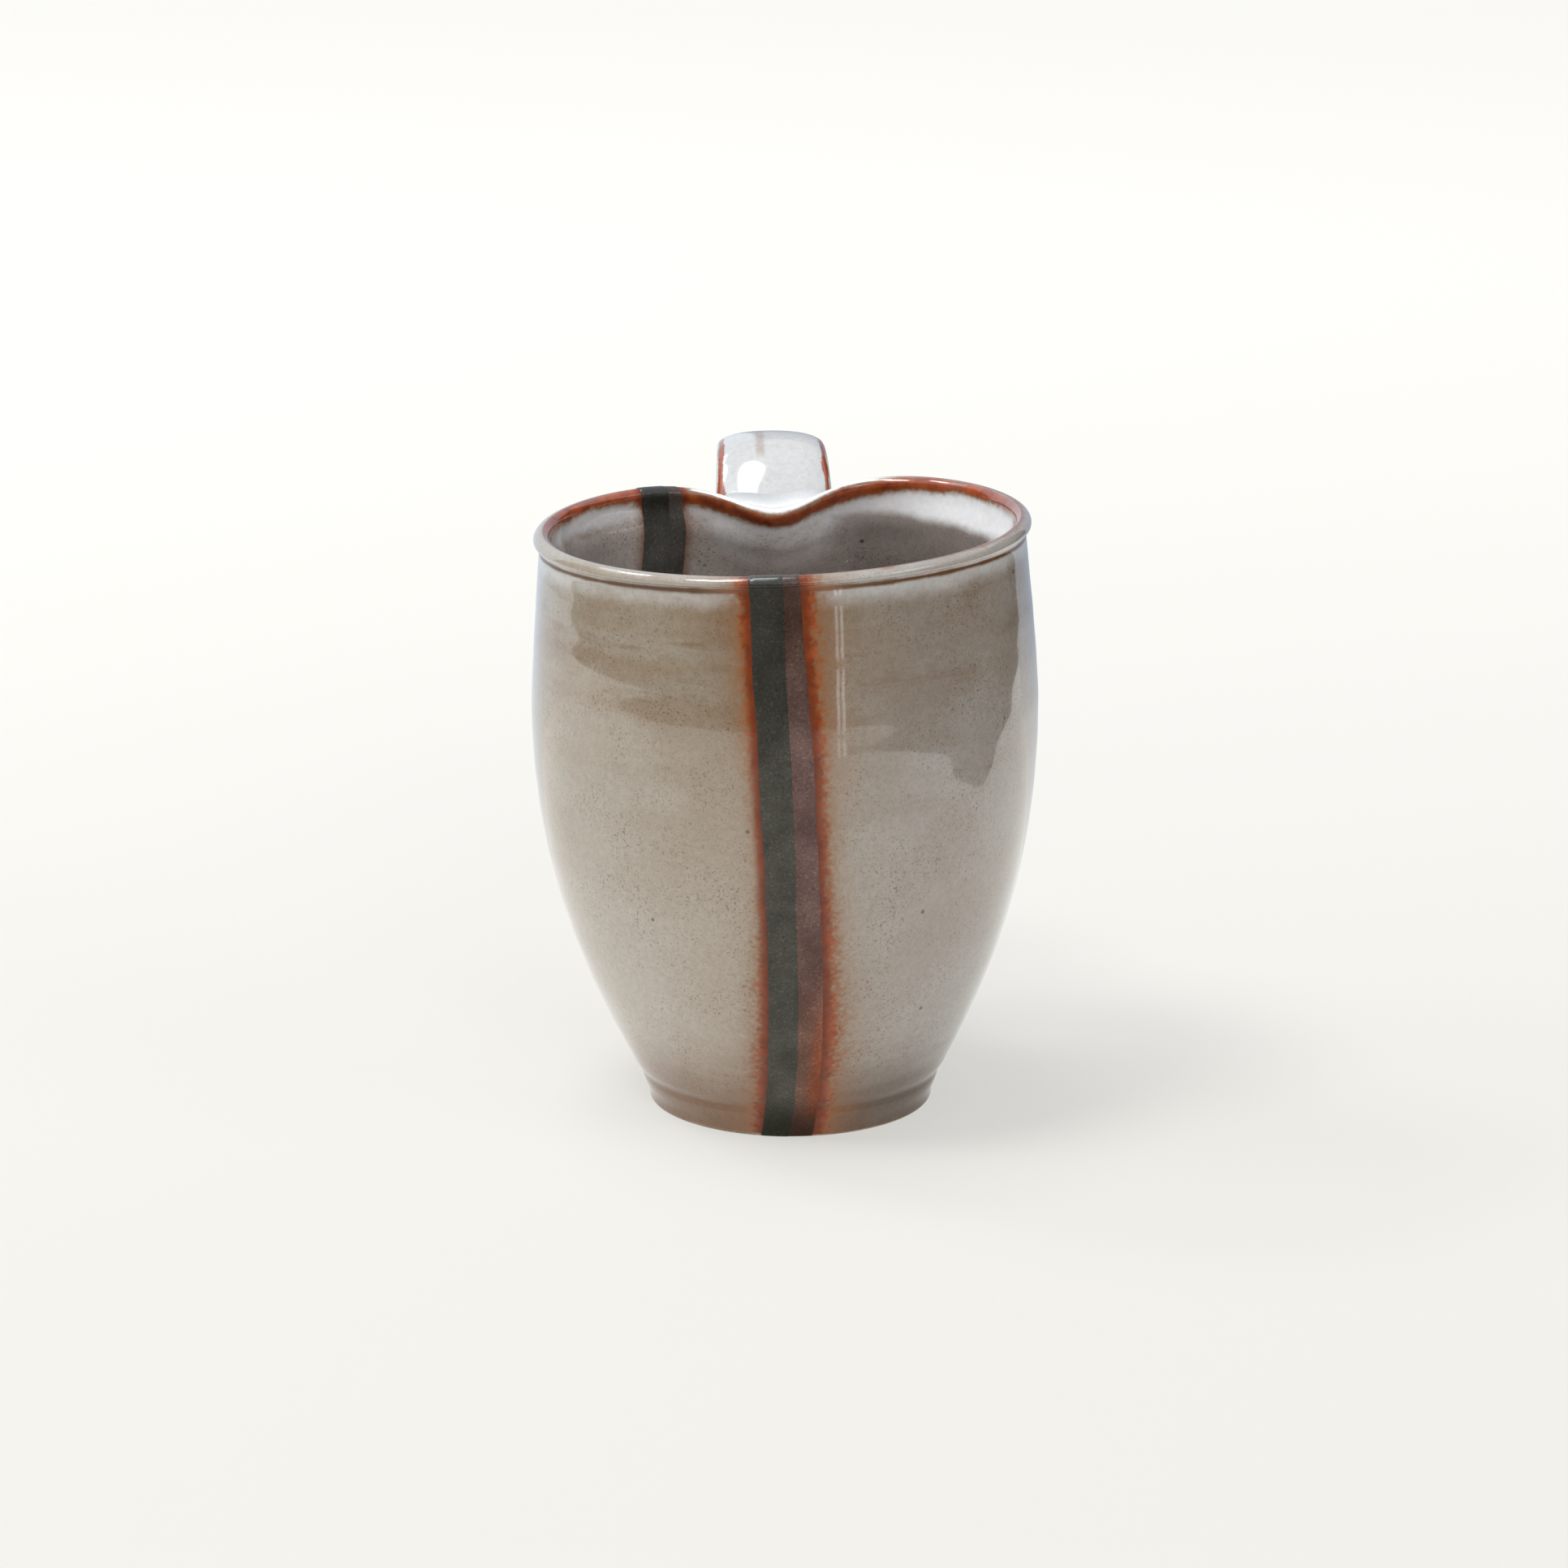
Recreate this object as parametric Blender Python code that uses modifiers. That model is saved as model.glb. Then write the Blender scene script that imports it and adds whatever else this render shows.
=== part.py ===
"""A hand-thrown stoneware cup: dented rim, pulled strap handle, and two pairs of fired-on stripes.

Metres, +Z up. The cup stands on its foot ring at Z = 0 and its handle points along +Y. The origin is the middle
of the whole cup's footprint, so the turned axis lies at Y = AXIS_Y.
"""

import bisect
import math

import bmesh
import bpy
from mathutils import Vector
from mathutils.geometry import interpolate_bezier

# Turned wall
RIM_HEIGHT = 0.105
LIP_RADIUS = 0.0435
LIP_THICKNESS = 0.0030
LIP_WRAP = math.radians(220.0)
GROOVE_DROP = 0.0034
GROOVE_DEPTH = 0.0009
SHOULDER_DROP = 0.0062
SHOULDER_INSET = 0.0007
SHOULDER_POWER = 1.3
BELLY_RADIUS = 0.0446
BELLY_DROP = 0.032
BELLY_POWER = 2.15
WALL = 0.0040
LIP_BLEND = 0.009

# Foot and floor
FOOT_RADIUS = 0.0252
FOOT_FLARE = 0.0015
FOOT_HEIGHT = 0.0057
FOOT_CHAMFER = 0.0006
FOOT_RING_WIDTH = 0.0046
FOOT_RECESS = 0.0026
RECESS_SLOPE = 0.0008
FLOOR_THICKNESS = 0.0050
FLOOR_FILLET = 0.013

# Dent in the rim, and the lean of the hand-made wall
DENT_LENGTH = 0.034
DENT_LEAN = math.radians(42.0)
DENT_HALF_WIDTH = 0.0148
RIM_TILT = math.radians(2.1)
AXIS_LEAN = 0.0015

# Strap handle
STRAP_ROOT_DROP = 0.0075
STRAP_ROOT_WIDTH = 0.0222
STRAP_ROOT_THICKNESS = 0.0066
STRAP_CREST_RISE = 0.0044
STRAP_CREST_STANDOFF = 0.0060
STRAP_STANDOFF = 0.0300
STRAP_BACK_DROP = 0.021
STRAP_TAIL_HEIGHT = 0.038
STRAP_TAIL_ANGLE = math.radians(24.0)
STRAP_TAIL_WIDTH = 0.0155
STRAP_TAIL_THICKNESS = 0.0050
STRAP_SQUARENESS = 2.3
STRAP_TAPER_POWER = 2.0

# How far the strap's curve keeps its direction at each knot, as shares of the stretch beside the knot
STRAP_RISE_PULL = 0.4
STRAP_ROUND_PULL = 0.55
STRAP_FALL_PULL = 0.4
STRAP_TAIL_PULL = 0.45

# Luting coils round the strap's two ends
LUTE_HEIGHT = 0.0030
LUTE_WIDTH = 0.0026

# Stripes, measured along the wall
DARK_STRIPE_WIDTH = 0.0057
MAUVE_STRIPE_WIDTH = 0.0033
STRIPE_THICKNESS = 0.0004
STRIPE_BOW = 0.0026
STRIPE_FOOT_CLEARANCE = 0.0010
FRONT_STRIPE_ANGLE = math.radians(-4.4)
BACK_STRIPE_ANGLE = math.radians(-150.0)

# Clearance between pieces that touch
SEAM = 0.0003

# Facets
BODY_STEPS = 72
WALL_STATIONS = 12
LIP_STATIONS = 6
FILLET_STATIONS = 4
PATH_STATIONS = 24
STRAP_STATIONS = 30
STRAP_SIDES = 16
STRIPE_COLUMNS = 2
CRISP_ANGLE = math.radians(40.0)
MERGE_DISTANCE = 0.00001
LEAST_LEAN = math.radians(0.0001)

# Sizes that follow from the ones above
BELLY_HEIGHT = RIM_HEIGHT - BELLY_DROP
SHOULDER_HEIGHT = RIM_HEIGHT - SHOULDER_DROP
SHOULDER_RADIUS = LIP_RADIUS - SHOULDER_INSET
GROOVE_HEIGHT = RIM_HEIGHT - GROOVE_DROP
GROOVE_RADIUS = LIP_RADIUS - GROOVE_DEPTH
LIP_ROLL = LIP_THICKNESS / 2
LIP_MIDDLE = LIP_RADIUS - LIP_ROLL
DENT_FOOT = RIM_HEIGHT - DENT_LENGTH
FOOT_TOP_RADIUS = FOOT_RADIUS + FOOT_FLARE
FLOOR_HEIGHT = FOOT_RECESS + FLOOR_THICKNESS
CUTTER_DEPTH = 3 * WALL
STRIPE_FRONT = BELLY_RADIUS + SEAM + STRIPE_THICKNESS
STRAP_BACK = BELLY_RADIUS + STRAP_STANDOFF
AXIS_Y = (STRIPE_FRONT - STRAP_BACK) / 2


def clear_scene():
    for old in list(bpy.data.objects):
        bpy.data.objects.remove(old, do_unlink=True)


def new_collection(name):
    made = bpy.data.collections.new(name)
    bpy.context.scene.collection.children.link(made)
    return made


def new_material(name, colour, roughness):
    made = bpy.data.materials.new(name)
    made.use_nodes = True
    shader = made.node_tree.nodes["Principled BSDF"]
    shader.inputs["Base Color"].default_value = (*colour, 1.0)
    shader.inputs["Roughness"].default_value = roughness
    shader.inputs["Metallic"].default_value = 0.0
    return made


def new_object(name, work, collection):
    """An object from a bmesh, shaded smooth with crisp corners."""
    mesh = bpy.data.meshes.new(name)
    work.to_mesh(mesh)
    work.free()
    mesh.shade_smooth()
    mesh.set_sharp_from_angle(angle=CRISP_ANGLE)
    made = bpy.data.objects.new(name, mesh)
    collection.objects.link(made)
    return made


def outer_radius(height):
    """Outside of the wall from the foot to the shoulder: swelling up to the belly, then drawn in."""
    if height < BELLY_HEIGHT:
        below = (BELLY_HEIGHT - height) / (BELLY_HEIGHT - FOOT_HEIGHT)
        return BELLY_RADIUS - (BELLY_RADIUS - FOOT_TOP_RADIUS) * below**BELLY_POWER
    above = (height - BELLY_HEIGHT) / (SHOULDER_HEIGHT - BELLY_HEIGHT)
    return BELLY_RADIUS - (BELLY_RADIUS - SHOULDER_RADIUS) * above**SHOULDER_POWER


def inside_line():
    """Radius and height from the floor's edge up the inside of the wall to just under the lip."""
    top = RIM_HEIGHT - LIP_BLEND
    start = FLOOR_HEIGHT + FLOOR_FILLET
    floor_corner = outer_radius(FLOOR_HEIGHT) - WALL
    wall_foot = outer_radius(start) - WALL
    floor_edge = floor_corner - FLOOR_FILLET
    points = []
    for station in range(FILLET_STATIONS):
        share = station / FILLET_STATIONS
        radius = (1 - share) ** 2 * floor_edge + 2 * share * (1 - share) * floor_corner + share**2 * wall_foot
        points.append((radius, FLOOR_HEIGHT + FLOOR_FILLET * share**2))
    for station in range(WALL_STATIONS + 1):
        height = start + (top - start) * station / WALL_STATIONS
        points.append((outer_radius(height) - WALL, height))
    return points


def lip_line():
    """The rolled lip, from its inside over the top and down to the groove."""
    points = []
    for station in range(LIP_STATIONS + 1):
        turn = math.pi - LIP_WRAP * station / LIP_STATIONS
        radius = LIP_MIDDLE + LIP_ROLL * math.cos(turn)
        points.append((radius, RIM_HEIGHT - LIP_ROLL + LIP_ROLL * math.sin(turn)))
    points.append((GROOVE_RADIUS, GROOVE_HEIGHT))
    return points


def outside_line():
    """Down the outside of the wall from the shoulder, and down the foot to the chamfer above the table."""
    points = []
    for station in range(WALL_STATIONS + 1):
        height = SHOULDER_HEIGHT + (FOOT_HEIGHT - SHOULDER_HEIGHT) * station / WALL_STATIONS
        points.append((outer_radius(height), height))
    points.append((FOOT_RADIUS + FOOT_FLARE / 2, FOOT_HEIGHT / 2))
    points.append((FOOT_RADIUS, FOOT_CHAMFER))
    return points


def offset_line(points, distance):
    """The same line moved sideways off the clay, with mitred corners."""
    moved = []
    for index, point in enumerate(points):
        here = Vector(point)
        before = Vector(points[max(index - 1, 0)])
        after = Vector(points[min(index + 1, len(points) - 1)])
        first = (here - before) if index > 0 else (after - here)
        second = (after - here) if index < len(points) - 1 else (here - before)
        first_side = Vector((-first.y, first.x)).normalized()
        second_side = Vector((-second.y, second.x)).normalized()
        middle = (first_side + second_side).normalized()
        moved.append(tuple(here + middle * (distance / middle.dot(first_side))))
    return moved


def dented(point):
    """Bends the rim in at +Y: the wall above the dent's foot leans in more and more and keeps its length."""
    climb = point.z - DENT_FOOT
    if climb <= 0:
        return point
    angle = math.atan2(point.x, point.y)
    spread = angle * LIP_RADIUS / DENT_HALF_WIDTH
    lean = DENT_LEAN * (1 + math.cos(angle)) / 2 / (1 + spread**2)
    if lean < LEAST_LEAN:
        return point
    turn = lean * math.sqrt(climb / DENT_LENGTH)
    scale = 2 * DENT_LENGTH / lean**2
    push = scale * (math.sin(turn) - turn * math.cos(turn))
    rise = scale * (math.cos(turn) + turn * math.sin(turn) - 1)
    inset = LIP_MIDDLE - math.hypot(point.x, point.y)
    back = point.y - push + inset * (1 - math.cos(turn))
    return Vector((point.x, back, DENT_FOOT + rise - inset * math.sin(turn)))


def thrown(point):
    """Where a point of the true turned form lies on the finished cup: dented, tilted and leaning."""
    moved = dented(point)
    share = moved.z / RIM_HEIGHT
    lifted = moved.z + math.tan(RIM_TILT) * moved.x * share**2
    sideways = moved.x + AXIS_LEAN * (BELLY_HEIGHT - moved.z) / RIM_HEIGHT
    return Vector((sideways, moved.y, lifted))


def turned(name, outline, closed, collection):
    """Spins an outline of radius and height about Z with a Screw modifier, then bends it to the thrown form."""
    work = bmesh.new()
    corners = [work.verts.new((radius, 0, height)) for radius, height in outline]
    for first, second in zip(corners, corners[1:]):
        work.edges.new((first, second))
    if closed:
        work.edges.new((corners[-1], corners[0]))
    profile = new_object(name + "_profile", work, collection)
    screw = profile.modifiers.new("Turn", "SCREW")
    screw.axis = "Z"
    screw.steps = BODY_STEPS
    screw.render_steps = BODY_STEPS
    screw.use_merge_vertices = True
    screw.merge_threshold = MERGE_DISTANCE
    evaluated = profile.evaluated_get(bpy.context.evaluated_depsgraph_get())
    mesh = bpy.data.meshes.new_from_object(evaluated)
    bpy.data.objects.remove(profile, do_unlink=True)
    work = bmesh.new()
    work.from_mesh(mesh)
    bpy.data.meshes.remove(mesh)
    bmesh.ops.remove_doubles(work, verts=work.verts, dist=MERGE_DISTANCE)
    for vertex in work.verts:
        vertex.co = thrown(vertex.co)
    return new_object(name, work, collection)


def make_cup_body(collection):
    ring_outer = FOOT_RADIUS - FOOT_CHAMFER
    ring_inner = ring_outer - FOOT_RING_WIDTH
    base = [(ring_outer, 0), (ring_inner, 0), (ring_inner - RECESS_SLOPE, FOOT_RECESS), (0, FOOT_RECESS)]
    outline = [(0, FLOOR_HEIGHT)] + inside_line() + lip_line() + outside_line() + base
    return turned("cup_body", outline, False, collection)


def make_wall_cutter(collection):
    """The wall's outside grown by the seam and thickened inwards, to shape what is luted to it."""
    skin = offset_line(lip_line()[LIP_STATIONS // 2 :] + outside_line(), SEAM)
    back = [(radius - CUTTER_DEPTH, height) for radius, height in reversed(skin)]
    return turned("wall_cutter", skin + back, True, collection)


def make_lute_guide(collection):
    """A shell over the wall as deep as the luting coils stand out of it."""
    growth = SEAM + LUTE_HEIGHT
    skin = [(LIP_RADIUS + growth, RIM_HEIGHT)]
    skin += [(radius + growth, height) for radius, height in outside_line()]
    back = [(radius - CUTTER_DEPTH, height) for radius, height in reversed(skin)]
    return turned("lute_guide", skin + back, True, collection)


def wall_seat(height):
    """A point halfway into the clay at the back of the cup, and the way out of the wall there."""
    seat = thrown(Vector((0, outer_radius(height) - WALL / 2, height)))
    climb = max(height - DENT_FOOT, 0)
    lean = DENT_LEAN * math.sqrt(climb / DENT_LENGTH)
    return seat, Vector((0, math.cos(lean), math.sin(lean)))


def strap_path():
    """Points along the middle of the strap, from inside the dented wall to inside the lower wall."""
    root, root_way = wall_seat(RIM_HEIGHT - STRAP_ROOT_DROP)
    tail, _ = wall_seat(STRAP_TAIL_HEIGHT)
    tail_way = Vector((0, math.cos(STRAP_TAIL_ANGLE), math.sin(STRAP_TAIL_ANGLE)))
    half = (STRAP_ROOT_THICKNESS + STRAP_TAIL_THICKNESS) / 4
    side = root.x
    crest = Vector((side, BELLY_RADIUS + STRAP_CREST_STANDOFF, RIM_HEIGHT + STRAP_CREST_RISE - half))
    back = Vector((side, STRAP_BACK - half, RIM_HEIGHT - STRAP_BACK_DROP))
    rise = (crest - root).length * STRAP_RISE_PULL
    round_over = (back.y - crest.y) * STRAP_ROUND_PULL
    fall = (back - tail).length
    knots = [
        (root, root + root_way * rise, crest - Vector((0, rise, 0)), crest),
        (crest, crest + Vector((0, round_over, 0)), back + Vector((0, 0, round_over)), back),
        (back, back - Vector((0, 0, fall * STRAP_FALL_PULL)), tail + tail_way * fall * STRAP_TAIL_PULL, tail),
    ]
    points = []
    for knot in knots:
        points += interpolate_bezier(*knot, PATH_STATIONS)[:-1]
    return points + [tail]


def distances_along(points):
    """How far along a path each of its points lies."""
    travelled = [0.0]
    for first, second in zip(points, points[1:]):
        travelled.append(travelled[-1] + (second - first).length)
    return travelled


def strap_section(path, travelled, distance):
    """The strap's section at a distance along its path: place, normal, half width and half thickness."""
    index = min(max(bisect.bisect(travelled, distance), 1), len(path) - 1)
    span = path[index] - path[index - 1]
    place = path[index - 1] + span.normalized() * (distance - travelled[index - 1])
    along = path[min(index + 1, len(path) - 1)] - path[max(index - 2, 0)]
    normal = Vector((0, -along.z, along.y)).normalized()
    taper = (1 - distance / travelled[-1]) ** STRAP_TAPER_POWER
    width = STRAP_TAIL_WIDTH + (STRAP_ROOT_WIDTH - STRAP_TAIL_WIDTH) * taper
    thickness = STRAP_TAIL_THICKNESS + (STRAP_ROOT_THICKNESS - STRAP_TAIL_THICKNESS) * taper
    return place, normal, width / 2, thickness / 2


def rounded(share):
    """A cosine or sine pressed towards a square, for the strap's flattened oval."""
    return math.copysign(abs(share) ** (2 / STRAP_SQUARENESS), share)


def lofted(name, sections, collection):
    """A closed loft through flattened ovals, each given as place, normal, half width and half thickness."""
    work = bmesh.new()
    rings = []
    for place, normal, half_width, half_thickness in sections:
        ring = []
        for side in range(STRAP_SIDES):
            turn = 2 * math.pi * side / STRAP_SIDES
            across = half_width * rounded(math.cos(turn))
            above = half_thickness * rounded(math.sin(turn))
            ring.append(work.verts.new(place + Vector((across, 0, 0)) + normal * above))
        rings.append([work.edges.new((ring[side - 1], ring[side])) for side in range(STRAP_SIDES)])
    for first, second in zip(rings, rings[1:]):
        bmesh.ops.bridge_loops(work, edges=first + second)
    bmesh.ops.holes_fill(work, edges=rings[0] + rings[-1])
    bmesh.ops.recalc_face_normals(work, faces=work.faces)
    return new_object(name, work, collection)


def make_strap(name, growth, first, last, collection):
    """The strap between two shares of its length, grown all round."""
    path = strap_path()
    travelled = distances_along(path)
    sections = []
    for station in range(STRAP_STATIONS + 1):
        share = station / STRAP_STATIONS
        if first <= share <= last:
            place, normal, half_width, half_thickness = strap_section(path, travelled, travelled[-1] * share)
            sections.append((place, normal, half_width + growth, half_thickness + growth))
    return lofted(name, sections, collection)


def fit(piece, operation, guide):
    boolean = piece.modifiers.new("Fit to " + guide.name, "BOOLEAN")
    boolean.operation = operation
    boolean.solver = "EXACT"
    boolean.object = guide


def make_stripe(name, angle, middle, width, collection):
    """A thin band from the foot, up the outside, over the lip and down the inside to the floor."""
    skin = offset_line(inside_line() + lip_line() + outside_line(), SEAM)
    line = [(radius, max(height, STRIPE_FOOT_CLEARANCE)) for radius, height in skin]
    rows = len(line)
    work = bmesh.new()
    bmesh.ops.create_grid(work, x_segments=STRIPE_COLUMNS, y_segments=rows - 1, size=0.5)
    for vertex in work.verts:
        radius, height = line[round((vertex.co.y + 0.5) * (rows - 1))]
        bow = STRIPE_BOW * math.sin(math.pi * height / RIM_HEIGHT)
        around = angle + (bow + middle - width * vertex.co.x) / radius
        vertex.co = thrown(Vector((radius * math.sin(around), -radius * math.cos(around), height)))
    made = new_object(name, work, collection)
    solidify = made.modifiers.new("Thickness", "SOLIDIFY")
    solidify.thickness = STRIPE_THICKNESS
    solidify.offset = 1.0
    return made


def main():
    clear_scene()
    cup = new_collection("handled_cup")
    cutters = new_collection("cutters")

    glaze = new_material("grey_glaze", (0.36, 0.31, 0.25), 0.15)
    pale_glaze = new_material("white_glaze", (0.68, 0.69, 0.70), 0.15)
    dark_slip = new_material("dark_slip", (0.07, 0.067, 0.055), 0.5)
    mauve_slip = new_material("mauve_slip", (0.13, 0.085, 0.075), 0.5)

    body = make_cup_body(cup)
    wall_cutter = make_wall_cutter(cutters)
    lute_guide = make_lute_guide(cutters)
    strap_cutter = make_strap("strap_cutter", SEAM, 0, 1, cutters)
    strap = make_strap("handle_strap", 0, 0, 1, cup)
    halfway = 0.5
    upper_lute = make_strap("upper_lute", SEAM + LUTE_WIDTH, 0, halfway, cup)
    lower_lute = make_strap("lower_lute", SEAM + LUTE_WIDTH, halfway, 1, cup)
    for lute in (upper_lute, lower_lute):
        fit(lute, "INTERSECT", lute_guide)
        fit(lute, "DIFFERENCE", strap_cutter)
    for piece in (strap, upper_lute, lower_lute):
        fit(piece, "DIFFERENCE", wall_cutter)

    dark_stripes = []
    mauve_stripes = []
    for place, angle, dark_side in (("front", FRONT_STRIPE_ANGLE, -1), ("back", BACK_STRIPE_ANGLE, 1)):
        dark_middle = dark_side * (MAUVE_STRIPE_WIDTH + SEAM) / 2
        mauve_middle = -dark_side * (DARK_STRIPE_WIDTH + SEAM) / 2
        dark_stripes.append(make_stripe(place + "_dark_stripe", angle, dark_middle, DARK_STRIPE_WIDTH, cup))
        mauve_stripes.append(make_stripe(place + "_mauve_stripe", angle, mauve_middle, MAUVE_STRIPE_WIDTH, cup))

    stand = bpy.data.objects.new("cup_axis", None)
    stand.location = (0, AXIS_Y, 0)
    cup.objects.link(stand)
    for pieces, finish in (
        ([body], glaze),
        ([strap, upper_lute, lower_lute], pale_glaze),
        (dark_stripes, dark_slip),
        (mauve_stripes, mauve_slip),
    ):
        for piece in pieces:
            piece.data.materials.append(finish)
            piece.parent = stand
    for cutter in (wall_cutter, lute_guide, strap_cutter):
        cutter.parent = stand
        cutter.hide_render = True
        cutter.display_type = "WIRE"


main()
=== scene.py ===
"""The looks of a hand-thrown stoneware cup: glazed wall, pulled strap, luted joints and fired-on stripes.

Metres, +Z up, in the part's own frame: the cup stands on its foot ring at Z = 0, its handle points along +Y
and its turned axis lies at Y = AXIS_Y. The clay's sizes are those of the part. Attributes are in millimetres.
"""

import bisect
import math
from collections import namedtuple
from functools import reduce
from types import SimpleNamespace

import bmesh
import bpy
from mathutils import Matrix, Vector, noise
from mathutils.bvhtree import BVHTree
from mathutils.geometry import interpolate_bezier
from mathutils.kdtree import KDTree


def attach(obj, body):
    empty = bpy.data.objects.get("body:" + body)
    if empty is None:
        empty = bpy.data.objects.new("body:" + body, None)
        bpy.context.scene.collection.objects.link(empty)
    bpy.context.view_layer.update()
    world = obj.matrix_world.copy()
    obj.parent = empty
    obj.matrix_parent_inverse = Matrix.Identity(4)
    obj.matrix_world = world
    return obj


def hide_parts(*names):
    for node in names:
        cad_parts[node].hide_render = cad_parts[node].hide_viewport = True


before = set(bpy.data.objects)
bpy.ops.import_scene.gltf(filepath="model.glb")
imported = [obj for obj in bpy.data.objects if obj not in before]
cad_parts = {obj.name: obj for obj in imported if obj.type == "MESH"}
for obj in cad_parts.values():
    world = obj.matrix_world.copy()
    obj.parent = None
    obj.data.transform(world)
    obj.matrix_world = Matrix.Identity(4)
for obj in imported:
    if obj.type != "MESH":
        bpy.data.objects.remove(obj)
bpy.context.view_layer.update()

# Turned wall
RIM_HEIGHT = 0.105
LIP_RADIUS = 0.0435
LIP_THICKNESS = 0.0030
LIP_WRAP = math.radians(220.0)
GROOVE_DROP = 0.0034
GROOVE_DEPTH = 0.0009
SHOULDER_DROP = 0.0062
SHOULDER_INSET = 0.0007
SHOULDER_POWER = 1.3
BELLY_RADIUS = 0.0446
BELLY_DROP = 0.032
BELLY_POWER = 2.15
WALL = 0.0040
LIP_BLEND = 0.009
BEND_PULL = 0.4

# Foot and floor
FOOT_RADIUS = 0.0252
FOOT_FLARE = 0.0015
FOOT_HEIGHT = 0.0057
FOOT_CHAMFER = 0.0006
FOOT_RING_WIDTH = 0.0046
FOOT_RECESS = 0.0026
RECESS_SLOPE = 0.0008
FLOOR_THICKNESS = 0.0050
FLOOR_FILLET = 0.013

# Dent in the rim, and the lean of the hand-made wall
DENT_LENGTH = 0.034
DENT_LEAN = math.radians(42.0)
DENT_HALF_WIDTH = 0.0148
RIM_TILT = math.radians(2.1)
AXIS_LEAN = 0.0015

# Strap handle
STRAP_ROOT_DROP = 0.0075
STRAP_ROOT_WIDTH = 0.0222
STRAP_ROOT_THICKNESS = 0.0066
STRAP_CREST_RISE = 0.0044
STRAP_CREST_STANDOFF = 0.0060
STRAP_STANDOFF = 0.0300
STRAP_BACK_DROP = 0.021
STRAP_TAIL_HEIGHT = 0.038
STRAP_TAIL_ANGLE = math.radians(24.0)
STRAP_TAIL_WIDTH = 0.0155
STRAP_TAIL_THICKNESS = 0.0050
STRAP_SQUARENESS = 2.3
STRAP_CORNER = math.radians(24.0)
STRAP_TAPER_POWER = 2.0
STRAP_RISE_PULL = 0.4
STRAP_ROUND_PULL = 0.55
STRAP_FALL_PULL = 0.4
STRAP_TAIL_PULL = 0.45

# Stripes, measured along the wall
STRIPE_SEAM = 0.0003
STRIPE_THICKNESS = 0.0004
STRIPE_BOW = 0.0026
STRIPE_BOW_POWER = 0.7
STRIPE_FOOT_CLEARANCE = 0.00015
FRONT_STRIPE_ANGLE = math.radians(-4.4)
BACK_STRIPE_ANGLE = math.radians(-150.0)
DARK_FOOT_WIDTH = 0.0052
DARK_LIP_WIDTH = 0.0061
MAUVE_FOOT_WIDTH = 0.0040
MAUVE_LIP_WIDTH = 0.0025
STRIPE_RISE = 0.00010
STRIPE_SINK = 0.00030
STRIPE_EDGE_WAVER = 0.00022
WAVER_FINENESS = 90
WAVER_JITTER = 0.35
STRIPE_SHOULDER = 25
MAUVE_TUCK = 0.15
DARK_LIFT = 0.00006

# Marks that the potter's fingers left
RING_PITCH = 0.0078
OUTSIDE_RING = 0.000022
INSIDE_RING = 0.000110
WALL_WOBBLE = 0.00016
MARK_FINENESS = 30
RING_FINENESS = 1.7
RING_LEAST = 0.6
LIP_CLEAR = (0.002, 0.016)
FOOT_CLEAR = (0.004, 0.018)
FOOT_SWELL = 0.00014
FOOT_SWELL_HEIGHT = 0.0078
FOOT_SWELL_SPREAD = 0.0011
FOOT_CREASE_HEIGHT = 0.0047
FOOT_CREASE_SPREAD = 0.0014
FRONT_LIP_RISE = 0.0007
FRONT_GROOVE_RISE = 0.0019
RISE_INSIDE = (-0.016, -0.001)
RISE_BELOW = (0.011, 0.0045)
RISE_GROOVE = (0.0015, 0.0045)

# Fillets of luting clay
UPPER_LUTE_REACH = 0.0030
UPPER_LUTE_CLIMB = 0.0034
LOWER_LUTE_REACH = 0.0040
LUTE_FILL = 0.5
LUTE_SINK = 0.00012
LUTE_BURIED = 0.0009
LUTE_LEAST_SPREAD = 0.3
STRAP_BURIED = 0.0008
STRAP_FREE = 0.022
MEETING_STEP = 0.0004
MEETING_HALVINGS = 12

# Grains of the finishes, to the metre
CLOUD_GRAIN = 38
MOTTLE_GRAIN = 900
PEPPER_GRAIN = 2700
CLUSTER_GRAIN = 120
DOT_GRAIN = 2200
SPOT_CELLS = 130
SPOT_SIZE = 0.06
SPOT_SOFT = 0.015
EMBER_GRAIN = 420
PEEL_GRAIN = 260
FLASH_GRAIN = 330
FLASH_PEPPER_GRAIN = 2100
SAND_GRAIN = 2300
BRUSH_GRAIN = 150
WISP_GRAIN = 170
SPECK_GRAIN = 1100
BLOTCH_GRAIN = 150
STAIN_GRAIN = 420
RING_GRAIN = 210
PATCH_GRAIN = 140
VEIL_GRAIN = 90
RING_STRETCH = (0.12, 0.12, 1.0)
GRAIN_ROUGHNESS = 0.55

# Places on the glaze: heights in metres, runs from the lip and gaps in millimetres
WALL_TOP = (0.045, 0.09)
CAVITY_START = (-2.0, -5.0)
GROOVE_RUN = 4.7
HALO_SPREAD = 1.6
WASH_SPREAD = 4.0
STREAK_OFFSET = 2.2

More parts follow.
